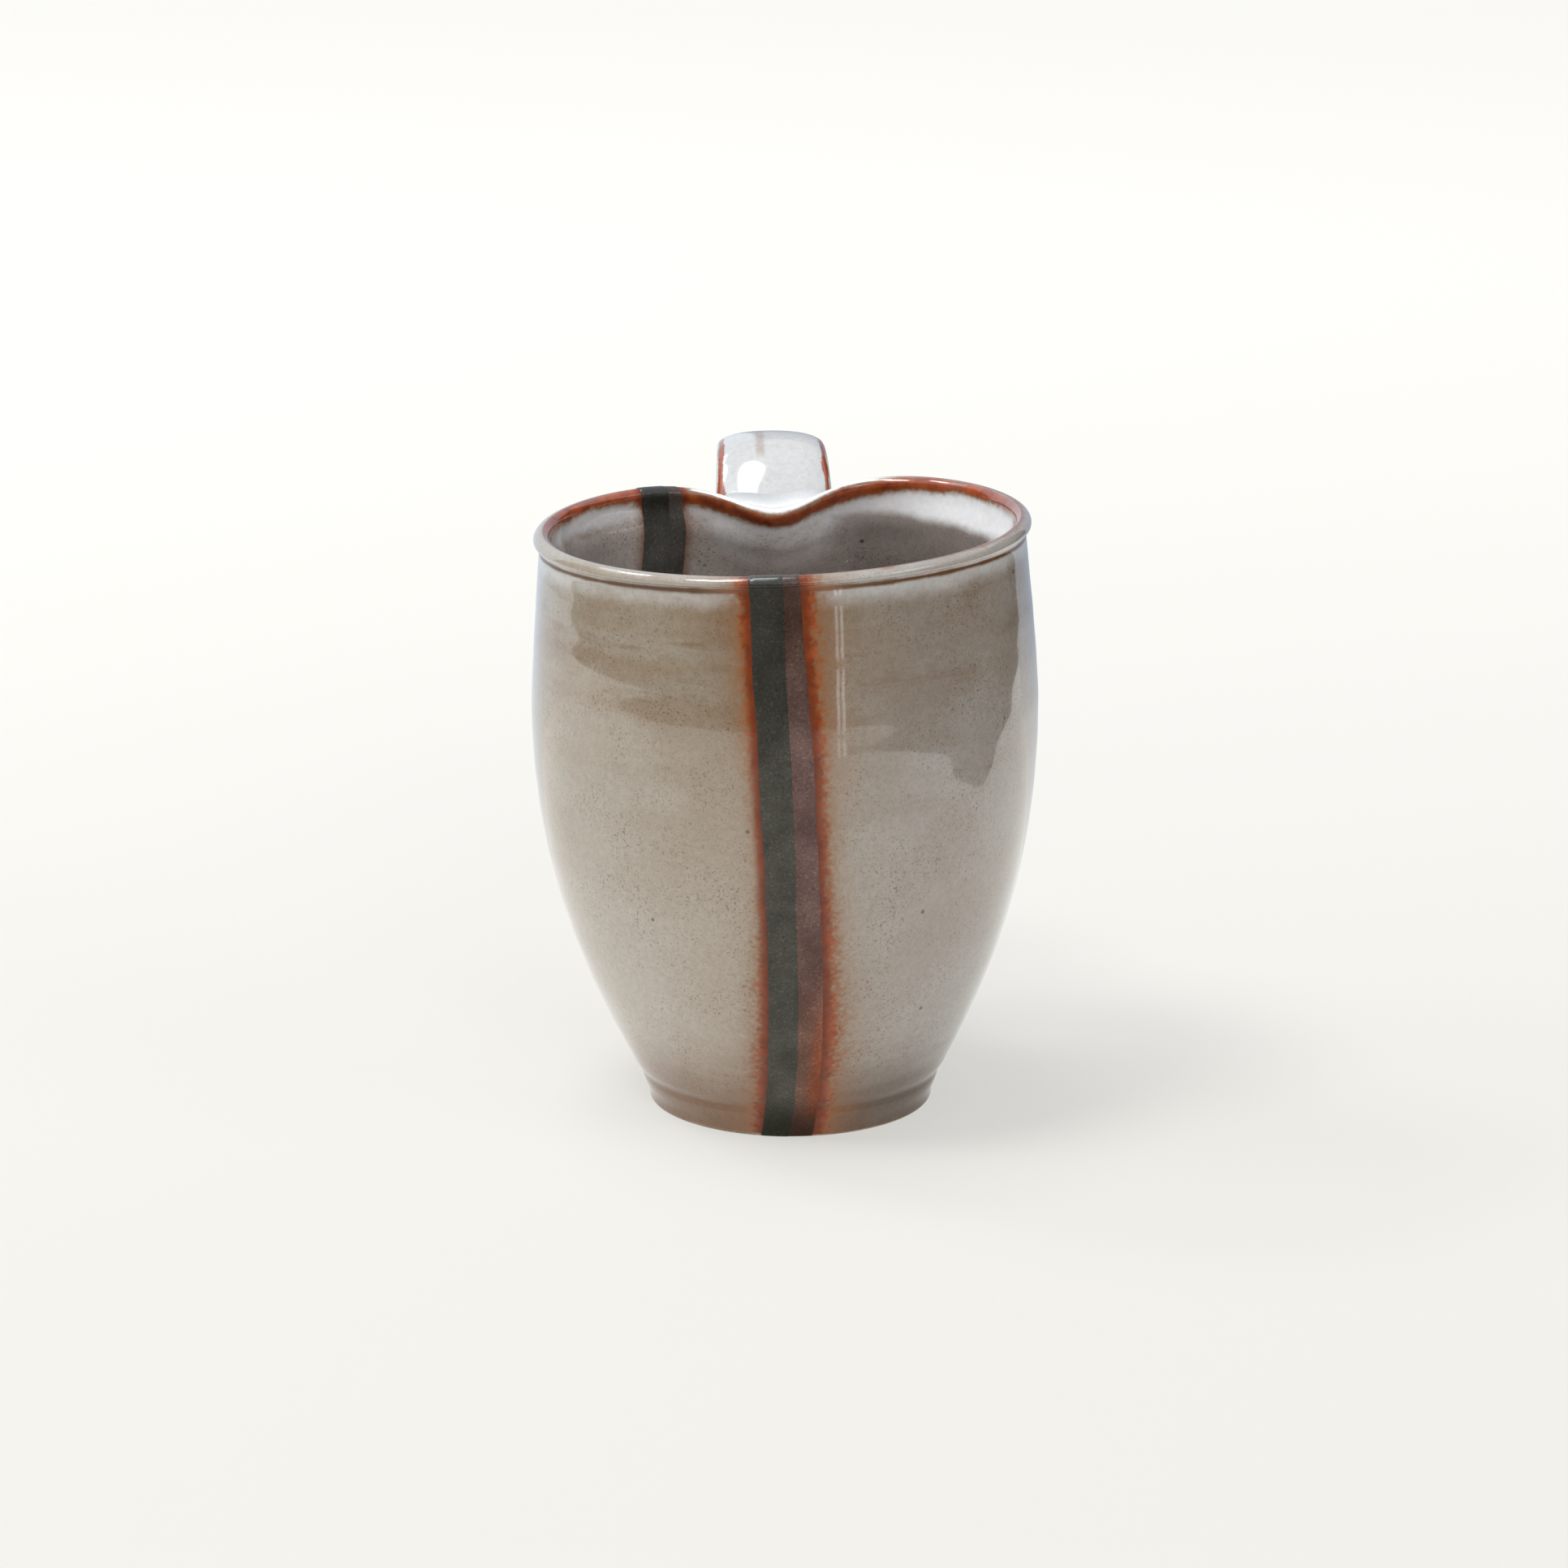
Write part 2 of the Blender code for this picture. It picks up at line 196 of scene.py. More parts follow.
# Colours of the glaze and the slips; a pair of tones is thin and thick, or dark and light
MOTTLE_TINT = (0.86, 0.84, 0.81)
PEPPER_TINT = (0.66, 0.56, 0.47)
DOT_COLOUR = (0.12, 0.07, 0.038)
SPOT_COLOUR = (0.07, 0.045, 0.03)
OCHRE_COLOUR = (0.27, 0.12, 0.05)
DEEP_RUST_COLOUR = (0.13, 0.026, 0.007)
DUST_TINT = (1.7, 1.68, 1.65)
SOOT_TINT = (0.6, 0.6, 0.6)
MILKY_TONES = ((0.87, 0.885, 0.905), (0.94, 0.95, 0.965))
RUST_TONES = ((0.2, 0.036, 0.009), (0.38, 0.073, 0.016))
WALL_TONES = ((0.385, 0.325, 0.26), (0.43, 0.385, 0.325))
WALL_TOP_TONES = ((0.3, 0.235, 0.168), (0.345, 0.3, 0.24))
# Painted shade with a cool reflection: the wall's right side made darker and bluer
RIGHT_SHADE_TINTS = ((0.91, 0.935, 1.02), (0.91, 0.935, 1.01))
# Painted cool reflection on the upper part of the wall's right side
RIGHT_TOP_REFLECTION_TINTS = ((1.02, 1.06, 1.12), (1.02, 1.06, 1.12))
# Painted light: the wall's lower left made paler, as the floor's light reflects there
LOW_LEFT_LIGHT_TINTS = ((1.2, 1.22, 1.25), (1.16, 1.18, 1.21))
STAIN_TONES = ((0.2, 0.13, 0.08), (0.24, 0.165, 0.11))
# Dark brown line in the groove under the bead: brown glaze with painted shade
GROOVE_SHADE_TONES = ((0.13, 0.06, 0.026), (0.13, 0.06, 0.026))
FOOT_LEFT_TONES = ((0.2, 0.097, 0.044), (0.24, 0.137, 0.076))
# Painted shade: the foot's tones at its right side, darker
FOOT_SHADE_TONES = ((0.105, 0.07, 0.049), (0.135, 0.102, 0.08))
CAVITY_LEFT_TONES = ((0.335, 0.296, 0.275), (0.41, 0.372, 0.355))
# Painted shade: the inside of the cup at the right, darker
CAVITY_SHADE_TONES = ((0.27, 0.235, 0.215), (0.34, 0.3, 0.28))
# Painted light: the inside wall under the dent made paler
DENT_BACK_LIGHT_TONES = ((0.56, 0.51, 0.48), (0.68, 0.625, 0.6))
STRAP_TONES = ((0.43, 0.42, 0.405), (0.5, 0.52, 0.54))
LUTE_TONES = ((0.4, 0.35, 0.29), (0.42, 0.4, 0.37))
DARK_TONES = ((0.042, 0.04, 0.032), (0.08, 0.076, 0.062))
DARK_END_TONES = ((0.02, 0.018, 0.014), (0.038, 0.036, 0.029))
DARK_FOOT_TONES = ((0.01, 0.01, 0.004), (0.02, 0.02, 0.009))
DARK_INSIDE_TONES = ((0.05, 0.049, 0.042), (0.1, 0.098, 0.087))
MAUVE_TONES = ((0.085, 0.045, 0.04), (0.165, 0.1, 0.088))
MAUVE_LOW_TONES = ((0.12, 0.055, 0.036), (0.19, 0.095, 0.065))
MAUVE_BLEED_TONES = ((0.2, 0.045, 0.014), (0.32, 0.075, 0.022))
MAUVE_FOOT_TONES = ((0.03, 0.01, 0.004), (0.06, 0.02, 0.008))
MAUVE_TOP_TONES = ((0.042, 0.02, 0.013), (0.085, 0.046, 0.034))
MAUVE_INSIDE_TONES = ((0.055, 0.049, 0.043), (0.105, 0.092, 0.083))
CLAY_TONES = ((0.2, 0.125, 0.08), (0.36, 0.26, 0.185))

# Gloss and relief
SURFACE_OUTLETS = {"Color": "Color", "Roughness": "Float", "Height": "Float"}
WALL_GLOSS = {"IOR": 1.52, "Specular IOR Level": 0.25, "Coat IOR": 1.6, "Coat Roughness": 0.04}
STRAP_GLOSS = {"IOR": 1.52, "Coat Weight": 0.8, "Coat Roughness": 0.04}
SLIP_GLOSS = {"Specular IOR Level": 0.22, "Coat Roughness": 0.12}
MATT = {"Roughness": 0.9, "Specular IOR Level": 0.0}
GLAZE_DEPTH = 0.00003
SLIP_DEPTH = 0.00005
CLAY_DEPTH = 0.00012

# Studio
AMBIENT_COLOUR = (0.44, 0.445, 0.45)
SHEEN_COLOUR = (0.72, 0.81, 0.9)
BACKDROP_COLOUR = (0.97, 0.965, 0.945)
PAPER_COLOUR = (0.31, 0.307, 0.295)
PAPER_FRONT_GLOW = (0.49, 0.486, 0.464)
PAPER_BACK_GLOW = (0.685, 0.68, 0.655)
PAPER_FAR_GLOW = (0.84, 0.835, 0.81)
PAPER_FRONT = (0.0, -0.5, 0.0)
PAPER_NEAR = (0.25, 1.4)
PAPER_FAR = (1.7, 3.4)
ROOM_NEAR = 0.50
ROOM_BULGE = 0.29
ROOM_BULGE_TURN = math.radians(86.0)
ROOM_BULGE_SPREAD = math.radians(32.0)
ROOM_END_FADE = math.radians(18.0)
ROOM_END_SLIP = 0.3
ROOM_RIPPLE = 0.015
RIPPLE_FINENESS = 6
ROOM_COLOUR = (0.02, 0.02, 0.02)
ROOM_STEPS = 96
ROOM_FAR = 1.6
ROOM_HEIGHT = 1.1
ROOM_LEFT_TURN = math.radians(-128.0)
ROOM_RIGHT_TURN = math.radians(144.0)
ROOM_LIFT = 0.004
COOL_LIFT = 0.002
ROOM_MARGIN = 0.3
COOL_SLIP = 0.3
COOL_SLIP_FIRST = math.radians(110.0)
COOL_SLIP_LAST = math.radians(160.0)
PAPER_SEEN = (0.86, 0.855, 0.83)
COOL_LEFT_NEAR = 0.1
COOL_RIGHT_NEAR = 0.08
COOL_LEFT_COLOUR = (0.7, 0.77, 0.86)
COOL_RIGHT_COLOUR = (0.37, 0.42, 0.5)
RIM_CARD_COLOUR = (2.5, 2.55, 2.6)
RIM_CARD_OUT = 1.5
RIM_CARD_FIRST = math.radians(-150.0)
RIM_CARD_LAST = math.radians(-105.0)
RIM_CARD_LOW = math.radians(44.0)
RIM_CARD_HIGH = math.radians(50.0)
RIM_CARD_STEPS = 24
STRIP_COLOUR = (2.6, 2.62, 2.65)
STRIP_OUT = 0.45
STRIP_TURNS = (math.radians(20.5), math.radians(22.8))
STRIP_WIDTH = 0.010
STRIP_FOOT = 0.004
STRIP_DEPTH = 0.002
STRIP_HEIGHT = 0.05
FLOOR_SIZE = 8.0

# Lamps: name, place, size, watts and colour
LAMPS = (
    ("overhead_panel", (-0.33, 0.08, 2.3), (1.1, 0.6), 12.0, (1, 0.99, 0.97)),
    ("key_panel", (-1.0, -0.55, 2.35), (0.8, 0.8), 24.0, (1, 0.975, 0.94)),
    ("left_panel", (-2.2, 0.1, 0.9), (0.8, 0.8), 11.0, (0.96, 0.98, 1.0)),
    ("right_panel", (1.7, -0.9, 1.1), (1.2, 1.2), 6.0, (0.9, 0.95, 1.0)),
    ("front_panel", (0.4, -2.2, 1.25), (1.2, 0.8), 12.0, (1, 0.99, 0.98)),
    ("inner_panel", (-0.9, 0.5, 1.3), (0.4, 0.4), 4.8, (0.92, 0.96, 1.0)),
)
LAMP_TARGET_HEIGHT = 0.06

# Camera
CAMERA_PLACE = (-0.0443, -1.0267, 0.347)
CAMERA_TILT = math.radians(74.04)
CAMERA_TURN = math.radians(-2.5)
CAMERA_LENS = 136.75
CAMERA_SENSOR = 36

# Facets
BODY_STEPS = 288
WALL_STEP = 0.00105
LIP_STEPS = 52
FLOOR_STEPS = 8
FILLET_STEPS = 18
FLARE_STEPS = 12
UNDER_LIP_STEPS = 12
SHOULDER_STEPS = 10
FOOT_SIDE_STEPS = 10
CHAMFER_STEPS = 5
RING_STEPS = 6
RECESS_STEPS = 8
STRAP_STATIONS = 180
STRAP_SIDES = 72
LUTE_SIDES = 144
LUTE_STEPS = 14
STRIPE_COLUMNS = 10
PATH_STATIONS = 60
MERGE_DISTANCE = 0.000002
LEAST_LEAN = math.radians(0.0001)
MILLIMETRE = 0.001

# Sizes that follow from the ones above
BELLY_HEIGHT = RIM_HEIGHT - BELLY_DROP
SHOULDER_HEIGHT = RIM_HEIGHT - SHOULDER_DROP
SHOULDER_RADIUS = LIP_RADIUS - SHOULDER_INSET
GROOVE_HEIGHT = RIM_HEIGHT - GROOVE_DROP
GROOVE_RADIUS = LIP_RADIUS - GROOVE_DEPTH
LIP_ROLL = LIP_THICKNESS / 2
LIP_MIDDLE = LIP_RADIUS - LIP_ROLL
DENT_FOOT = RIM_HEIGHT - DENT_LENGTH
FOOT_TOP_RADIUS = FOOT_RADIUS + FOOT_FLARE
FLOOR_HEIGHT = FOOT_RECESS + FLOOR_THICKNESS
STRIPE_FRONT = BELLY_RADIUS + STRIPE_SEAM + STRIPE_THICKNESS
STRAP_BACK = BELLY_RADIUS + STRAP_STANDOFF
AXIS_Y = (STRIPE_FRONT - STRAP_BACK) / 2

# A station of the clay's line: its radius and height, the way out of the clay, and its run from the lip's top
Station = namedtuple("Station", "radius height out run")


# Shape of the clay


def ease(low, high, value):
    """0 up to low, 1 from high on and smooth between them; low may be the larger one."""
    share = min(max((value - low) / (high - low), 0), 1)
    return share * share * (3 - 2 * share)


def hump(offset, spread):
    """1 at no offset, falling away smoothly at both sides."""
    return math.exp(-((offset / spread) ** 2))


def outer_radius(height):
    """Outside of the wall from the foot to the shoulder: swelling up to the belly, then drawn in."""
    if height < BELLY_HEIGHT:
        below = (BELLY_HEIGHT - height) / (BELLY_HEIGHT - FOOT_HEIGHT)
        return BELLY_RADIUS - (BELLY_RADIUS - FOOT_TOP_RADIUS) * below**BELLY_POWER
    above = (height - BELLY_HEIGHT) / (SHOULDER_HEIGHT - BELLY_HEIGHT)
    return BELLY_RADIUS - (BELLY_RADIUS - SHOULDER_RADIUS) * above**SHOULDER_POWER


def floor_edge():
    """Radius at which the flat floor starts to curve up into the wall."""
    return outer_radius(FLOOR_HEIGHT) - WALL - FLOOR_FILLET


def wall_stretch(first, last, inset):
    """Radius and height along the wall between two heights."""
    steps = round(abs(last - first) / WALL_STEP)
    heights = [first + (last - first) * step / steps for step in range(steps + 1)]
    return [(outer_radius(height) - inset, height) for height in heights]


def bend(first, first_way, last_way, last, steps):
    """A smooth turn between two points, leaving along one way and arriving along the other."""
    pull = (Vector(last) - Vector(first)).length * BEND_PULL
    first_handle = Vector(first) + Vector(first_way).normalized() * pull
    last_handle = Vector(last) - Vector(last_way).normalized() * pull
    return [tuple(point) for point in interpolate_bezier(first, first_handle, last_handle, last, steps + 1)]


def clay_line():
    """Radius and height from the floor's middle, up the inside, over the lip, down and under the foot."""
    fillet_top = FLOOR_HEIGHT + FLOOR_FILLET
    flare_foot = RIM_HEIGHT - LIP_BLEND
    lip_centre = RIM_HEIGHT - LIP_ROLL
    ring_outer = FOOT_RADIUS - FOOT_CHAMFER
    ring_inner = ring_outer - FOOT_RING_WIDTH
    up = (0, 1)
    down = (0, -1)
    inward = (-1, 0)

    floor = [(floor_edge() * step / FLOOR_STEPS, FLOOR_HEIGHT) for step in range(FLOOR_STEPS + 1)]
    inside = wall_stretch(fillet_top, flare_foot, WALL)
    fillet = bend(floor[-1], (1, 0), Vector(inside[1]) - Vector(inside[0]), inside[0], FILLET_STEPS)
    lip = []
    for step in range(LIP_STEPS + 1):
        turn = math.pi - LIP_WRAP * step / LIP_STEPS
        lip.append((LIP_MIDDLE + LIP_ROLL * math.cos(turn), lip_centre + LIP_ROLL * math.sin(turn)))
    flare = bend(inside[-1], Vector(inside[-1]) - Vector(inside[-2]), up, lip[0], FLARE_STEPS)
    outside = wall_stretch(SHOULDER_HEIGHT, FOOT_HEIGHT, 0)
    groove = (GROOVE_RADIUS, GROOVE_HEIGHT)
    under_lip = bend(lip[-1], Vector(lip[-1]) - Vector(lip[-2]), down, groove, UNDER_LIP_STEPS)
    shoulder = bend(groove, down, Vector(outside[1]) - Vector(outside[0]), outside[0], SHOULDER_STEPS)
    foot_side = bend(outside[-1], down, down, (FOOT_RADIUS, FOOT_CHAMFER), FOOT_SIDE_STEPS)
    foot_edge = bend(foot_side[-1], down, inward, (ring_outer, 0), CHAMFER_STEPS)
    ring = []
    for step in range(1, RING_STEPS + 1):
        ring.append((ring_outer + (ring_inner - ring_outer) * step / RING_STEPS, 0))
    recess_edge = (ring_inner - RECESS_SLOPE, FOOT_RECESS)
    recess = bend(ring[-1], up, inward, recess_edge, RECESS_STEPS)
    middle = []
    for step in range(1, RECESS_STEPS + 1):
        middle.append((recess_edge[0] * (1 - step / RECESS_STEPS), FOOT_RECESS))
    stretches = [floor, fillet, inside, flare, lip, under_lip, shoulder, outside]
    stretches += [foot_side, foot_edge, ring, recess, middle]
    points = stretches[0]
    for stretch in stretches[1:]:
        joined = (Vector(stretch[0]) - Vector(points[-1])).length < MERGE_DISTANCE
        points = points + (stretch[1:] if joined else stretch)
    return points


def clay_stations():
    """The clay's line with the way out of the clay and the run from the lip's top, positive outside."""
    points = [Vector(point) for point in clay_line()]
    top = max(range(len(points)), key=lambda index: points[index].y)
    runs = [0.0]
    for first, second in zip(points, points[1:]):
        runs.append(runs[-1] + (second - first).length)
    stations = []
    for index, point in enumerate(points):
        along = points[min(index + 1, len(points) - 1)] - points[max(index - 1, 0)]
        out = Vector((-along.y, along.x)).normalized()
        stations.append(Station(point.x, point.y, out, runs[index] - runs[top]))
    return stations


def dented(point):
    """Bends the rim in at +Y: the wall above the dent's foot leans in more and more and keeps its length."""
    climb = point.z - DENT_FOOT
    if climb <= 0:
        return point
    angle = math.atan2(point.x, point.y)
    spread = angle * LIP_RADIUS / DENT_HALF_WIDTH
    lean = DENT_LEAN * (1 + math.cos(angle)) / 2 / (1 + spread**2)
    if lean < LEAST_LEAN:
        return point
    turn = lean * math.sqrt(climb / DENT_LENGTH)
    scale = 2 * DENT_LENGTH / lean**2
    push = scale * (math.sin(turn) - turn * math.cos(turn))
    rise = scale * (math.cos(turn) + turn * math.sin(turn) - 1)
    inset = LIP_MIDDLE - math.hypot(point.x, point.y)
    back = point.y - push + inset * (1 - math.cos(turn))
    return Vector((point.x, back, DENT_FOOT + rise - inset * math.sin(turn)))


def thrown(point):
    """Where a point of the true turned form lies on the finished cup: dented, tilted and leaning."""
    moved = dented(point)
    share = moved.z / RIM_HEIGHT
    lifted = moved.z + math.tan(RIM_TILT) * moved.x * share**2
    sideways = moved.x + AXIS_LEAN * (BELLY_HEIGHT - moved.z) / RIM_HEIGHT
    return Vector((sideways, moved.y, lifted))


def finger_marks(station, azimuth):
    """How far the wall stands off its true line: throwing rings, a slow wobble and a swell over the foot."""
    inside = station.run < 0
    mark = INSIDE_RING if inside else OUTSIDE_RING
    round_about = Vector((math.sin(azimuth), math.cos(azimuth), station.height * MARK_FINENESS))
    strength = RING_LEAST + noise.noise(round_about * RING_FINENESS + Vector((5, 0, 0)))
    rings = mark * strength * math.sin(2 * math.pi * station.height / RING_PITCH - azimuth)
    wobble = WALL_WOBBLE * noise.noise(round_about + Vector((0, 9, 3 if inside else 0)))
    clear = ease(*LIP_CLEAR, abs(station.run)) * ease(*FOOT_CLEAR, station.height)
    swell = hump(station.height - FOOT_SWELL_HEIGHT, FOOT_SWELL_SPREAD)
    swell -= hump(station.height - FOOT_CREASE_HEIGHT, FOOT_CREASE_SPREAD)
    outer_foot = 0 if inside or station.radius < FOOT_RADIUS else FOOT_SWELL
    return (rings + wobble) * clear + swell * outer_foot


def lip_raise(station, azimuth):
    """How much higher the hand-made lip stands at the front than at the back, and its groove with it."""
    front = ((1 + math.cos(azimuth)) / 2) ** 2
    near = ease(*RISE_INSIDE, station.run) * ease(*RISE_BELOW, station.run)
    groove = ease(*RISE_GROOVE, station.run)
    return front * near * (FRONT_LIP_RISE + (FRONT_GROOVE_RISE - FRONT_LIP_RISE) * groove)


def skin_point(station, azimuth, lift):
    """A point at a height over the clay; azimuth 0 is the front and turns towards +X."""
    off = lift + finger_marks(station, azimuth)
    radius = station.radius + station.out.x * off
    height = station.height + station.out.y * off + lip_raise(station, azimuth)
    point = Vector((radius * math.sin(azimuth), -radius * math.cos(azimuth), height))
    return thrown(point) + Vector((0, AXIS_Y, 0))


# Stripes on the clay


def stripe_edges(station, angle, dark_side):
    """Where a pair of stripes lies along the wall: the dark one's free edge, their border, the other edge."""
    share = station.height / RIM_HEIGHT
    dark = DARK_FOOT_WIDTH + (DARK_LIP_WIDTH - DARK_FOOT_WIDTH) * share
    mauve = MAUVE_FOOT_WIDTH + (MAUVE_LIP_WIDTH - MAUVE_FOOT_WIDTH) * share**4
    middle = STRIPE_BOW * math.sin(math.pi * min(share, 1) ** STRIPE_BOW_POWER)
    edges = [-(dark + mauve) / 2, (dark - mauve) / 2, (dark + mauve) / 2]
    wavered = []
    for index, edge in enumerate(edges):
        place = Vector((station.run * WAVER_FINENESS, index * 7.3, angle * 11))
        waver = noise.noise(place) + WAVER_JITTER * noise.noise(place * 5)
        wavered.append(middle - dark_side * edge + STRIPE_EDGE_WAVER * waver)
    return wavered


def past_stripe_end(station):
    """How far a station lies past the stripes' end: the floor's edge inside, and the foot ring's outside."""
    end = floor_edge() if station.run < 0 else FOOT_RADIUS - FOOT_CHAMFER
    return end - station.radius


def is_painted(station):
    """Whether the stripes pass a station: from the floor's edge over the lip to just above the foot ring."""
    return past_stripe_end(station) <= 0 and station.height >= STRIPE_FOOT_CLEARANCE


def stripe_gap(station, azimuth):
    """How far along the wall a point lies from the nearest pair of stripes; below nothing under one."""
    gaps = []
    for angle, dark_side in ((FRONT_STRIPE_ANGLE, -1), (BACK_STRIPE_ANGLE, 1)):
        turn = math.remainder(azimuth - angle, 2 * math.pi)
        arc = turn * station.radius
        edges = stripe_edges(station, angle, dark_side)
        gaps.append(max(min(edges) - arc, arc - max(edges)))
    return max(min(gaps), past_stripe_end(station))


# Making meshes


def new_piece(name, work, material):
    """An object from a bmesh: seams merged, faces out, shaded smooth."""
    bmesh.ops.remove_doubles(work, verts=work.verts, dist=MERGE_DISTANCE)
    bmesh.ops.recalc_face_normals(work, faces=work.faces)
    mesh = bpy.data.meshes.new(name)
    work.to_mesh(mesh)
    work.free()
    mesh.shade_smooth()
    mesh.materials.append(material)
    made = bpy.data.objects.new(name, mesh)
    bpy.context.scene.collection.objects.link(made)
    return made


def draped_grid(columns, rows, place, marks=()):
    """A grid with each vertex where place puts its column and row; place gives the marks' values too."""
    work = bmesh.new()
    bmesh.ops.create_grid(work, x_segments=columns, y_segments=rows, size=0.5)
    layers = [work.verts.layers.float.new(mark) for mark in marks]
    for vertex in work.verts:
        column = round((vertex.co.x + 0.5) * columns)
        row = round((vertex.co.y + 0.5) * rows)
        vertex.co, values = place(column, row)
        for layer, value in zip(layers, values):
            vertex[layer] = value
    return work


def closed_tube(name, work, material):
    """A piece from a grid that was rolled up: its long edges merged and its two ends filled."""
    bmesh.ops.remove_doubles(work, verts=work.verts, dist=MERGE_DISTANCE)
    open_edges = [edge for edge in work.edges if edge.is_boundary]
    bmesh.ops.holes_fill(work, edges=open_edges)
    return new_piece(name, work, material)


def make_body(stations, material, clay):
    """The wall, floor, lip and foot as one turned skin."""
    work = bmesh.new()
    index_layer = work.verts.layers.int.new("station")
    lip_layer = work.verts.layers.float.new("from_lip")
    gap_layer = work.verts.layers.float.new("stripe_gap")
    corners = []
    for index, station in enumerate(stations):
        corner = work.verts.new((0, -station.radius, station.height))
        corner[index_layer] = index
        corners.append(corner)
    line = [work.edges.new(pair) for pair in zip(corners, corners[1:])]
    bmesh.ops.spin(
        work,
        geom=corners + line,
        cent=(0, 0, 0),
        axis=(0, 0, 1),
        dvec=(0, 0, 0),
        angle=2 * math.pi,
        steps=BODY_STEPS,
        use_merge=True,
    )
    for vertex in work.verts:
        station = stations[vertex[index_layer]]
        azimuth = math.atan2(vertex.co.x, -vertex.co.y)
        vertex.co = skin_point(station, azimuth, 0)
        vertex[lip_layer] = station.run / MILLIMETRE
        vertex[gap_layer] = stripe_gap(station, azimuth) / MILLIMETRE
    body = new_piece("glazed_body", work, material)
    body.data.materials.append(clay)
    for face in body.data.polygons:
        heights = [body.data.vertices[corner].co.z for corner in face.vertices]
        on_ring = max(heights) < FOOT_CHAMFER
        face.material_index = 1 if on_ring else 0
    return body


def make_stripe(name, stations, angle, dark_side, edges, under, lift, material):
    """A skin of slip as a flat tube over the wall: its top bows up from edges that sink into the glaze."""
    first, second = edges

    def place(column, row):
        station = stations[row]
        places = stripe_edges(station, angle, dark_side)
        start = places[first] + (places[0] - places[1]) * under
        end = places[second]
        across = (1 - math.cos(math.pi * column / STRIPE_COLUMNS)) / 2
        crown = min(1, STRIPE_SHOULDER * min(across, 1 - across))
        top = -STRIPE_RISE / 2 + (STRIPE_RISE * 1.5 + lift) * crown
        off = top if column <= STRIPE_COLUMNS else -STRIPE_SINK * crown - STRIPE_RISE / 2
        arc = start + (end - start) * across
        point = skin_point(station, angle + arc / station.radius, off)
        return point, (station.run / MILLIMETRE, across)

    work = draped_grid(2 * STRIPE_COLUMNS, len(stations) - 1, place, ("from_lip", "across"))
    return closed_tube(name, work, material)


# Strap and its joints


def wall_seat(height):
    """A point halfway into the clay at the back of the cup, and the way out of the wall there."""
    seat = thrown(Vector((0, outer_radius(height) - WALL / 2, height)))
    climb = max(height - DENT_FOOT, 0)
    lean = DENT_LEAN * math.sqrt(climb / DENT_LENGTH)
    return seat, Vector((0, math.cos(lean), math.sin(lean)))


def strap_path():
    """Points along the middle of the strap, from inside the dented wall to inside the lower wall."""
    root, root_way = wall_seat(RIM_HEIGHT - STRAP_ROOT_DROP)
    tail, _ = wall_seat(STRAP_TAIL_HEIGHT)
    tail_way = Vector((0, math.cos(STRAP_TAIL_ANGLE), math.sin(STRAP_TAIL_ANGLE)))
    half = (STRAP_ROOT_THICKNESS + STRAP_TAIL_THICKNESS) / 4
    side = root.x
    crest = Vector((side, BELLY_RADIUS + STRAP_CREST_STANDOFF, RIM_HEIGHT + STRAP_CREST_RISE - half))
    back = Vector((side, STRAP_BACK - half, RIM_HEIGHT - STRAP_BACK_DROP))
    rise = (crest - root).length * STRAP_RISE_PULL
    round_over = (back.y - crest.y) * STRAP_ROUND_PULL
    fall = (back - tail).length
    knots = [
        (root, root + root_way * rise, crest - Vector((0, rise, 0)), crest),
        (crest, crest + Vector((0, round_over, 0)), back + Vector((0, 0, round_over)), back),
        (back, back - Vector((0, 0, fall * STRAP_FALL_PULL)), tail + tail_way * fall * STRAP_TAIL_PULL, tail),
    ]
    points = []
    for knot in knots:
        points += interpolate_bezier(*knot, PATH_STATIONS)[:-1]
    return [point + Vector((0, AXIS_Y, 0)) for point in points + [tail]]


class Strap:
    """The pulled strap as a surface: a distance along it and a turn round its flattened oval give a point."""

    def __init__(self):
        self.path = strap_path()
        self.travelled = [0.0]
        for first, second in zip(self.path, self.path[1:]):
            self.travelled.append(self.travelled[-1] + (second - first).length)
        self.length = self.travelled[-1]

    def section(self, distance):
        """The oval at a distance: its place, its way up, and its half width and half thickness."""
        path = self.path
        index = min(max(bisect.bisect(self.travelled, distance), 1), len(path) - 1)
        span = path[index] - path[index - 1]
        place = path[index - 1] + span.normalized() * (distance - self.travelled[index - 1])
        before = path[index - 1] - path[max(index - 2, 0)]
        after = path[min(index + 1, len(path) - 1)] - path[index]
        share = (distance - self.travelled[index - 1]) / span.length
        along = (before + span) * (1 - share) + (span + after) * share
        normal = Vector((0, -along.z, along.y)).normalized()
        taper = max(1 - distance / self.length, 0) ** STRAP_TAPER_POWER
        width = STRAP_TAIL_WIDTH + (STRAP_ROOT_WIDTH - STRAP_TAIL_WIDTH) * taper
        thickness = STRAP_TAIL_THICKNESS + (STRAP_ROOT_THICKNESS - STRAP_TAIL_THICKNESS) * taper
        return place, normal, width / 2, thickness / 2

    def point(self, distance, turn):
        """A point on the strap's skin; turn 0 is its +X edge and a quarter turn its outer face."""
        place, normal, half_width, half_thickness = self.section(distance)
        across = half_width * rounded(math.cos(turn))
        above = half_thickness * rounded(math.sin(turn))
        return place + Vector((across, 0, 0)) + normal * above

    def way_out(self, distance, turn):
        """The way out of the strap's skin."""
        nearby = 0.01
        ahead = nearby * MILLIMETRE
        side = self.point(distance, turn + nearby) - self.point(distance, turn - nearby)
        along = self.point(distance + ahead, turn) - self.point(distance - ahead, turn)
        return side.cross(along).normalized()


def rounded(share):
    """A cosine or sine pressed towards a square, for the strap's flattened oval."""
    return math.copysign(abs(share) ** (2 / STRAP_SQUARENESS), share)


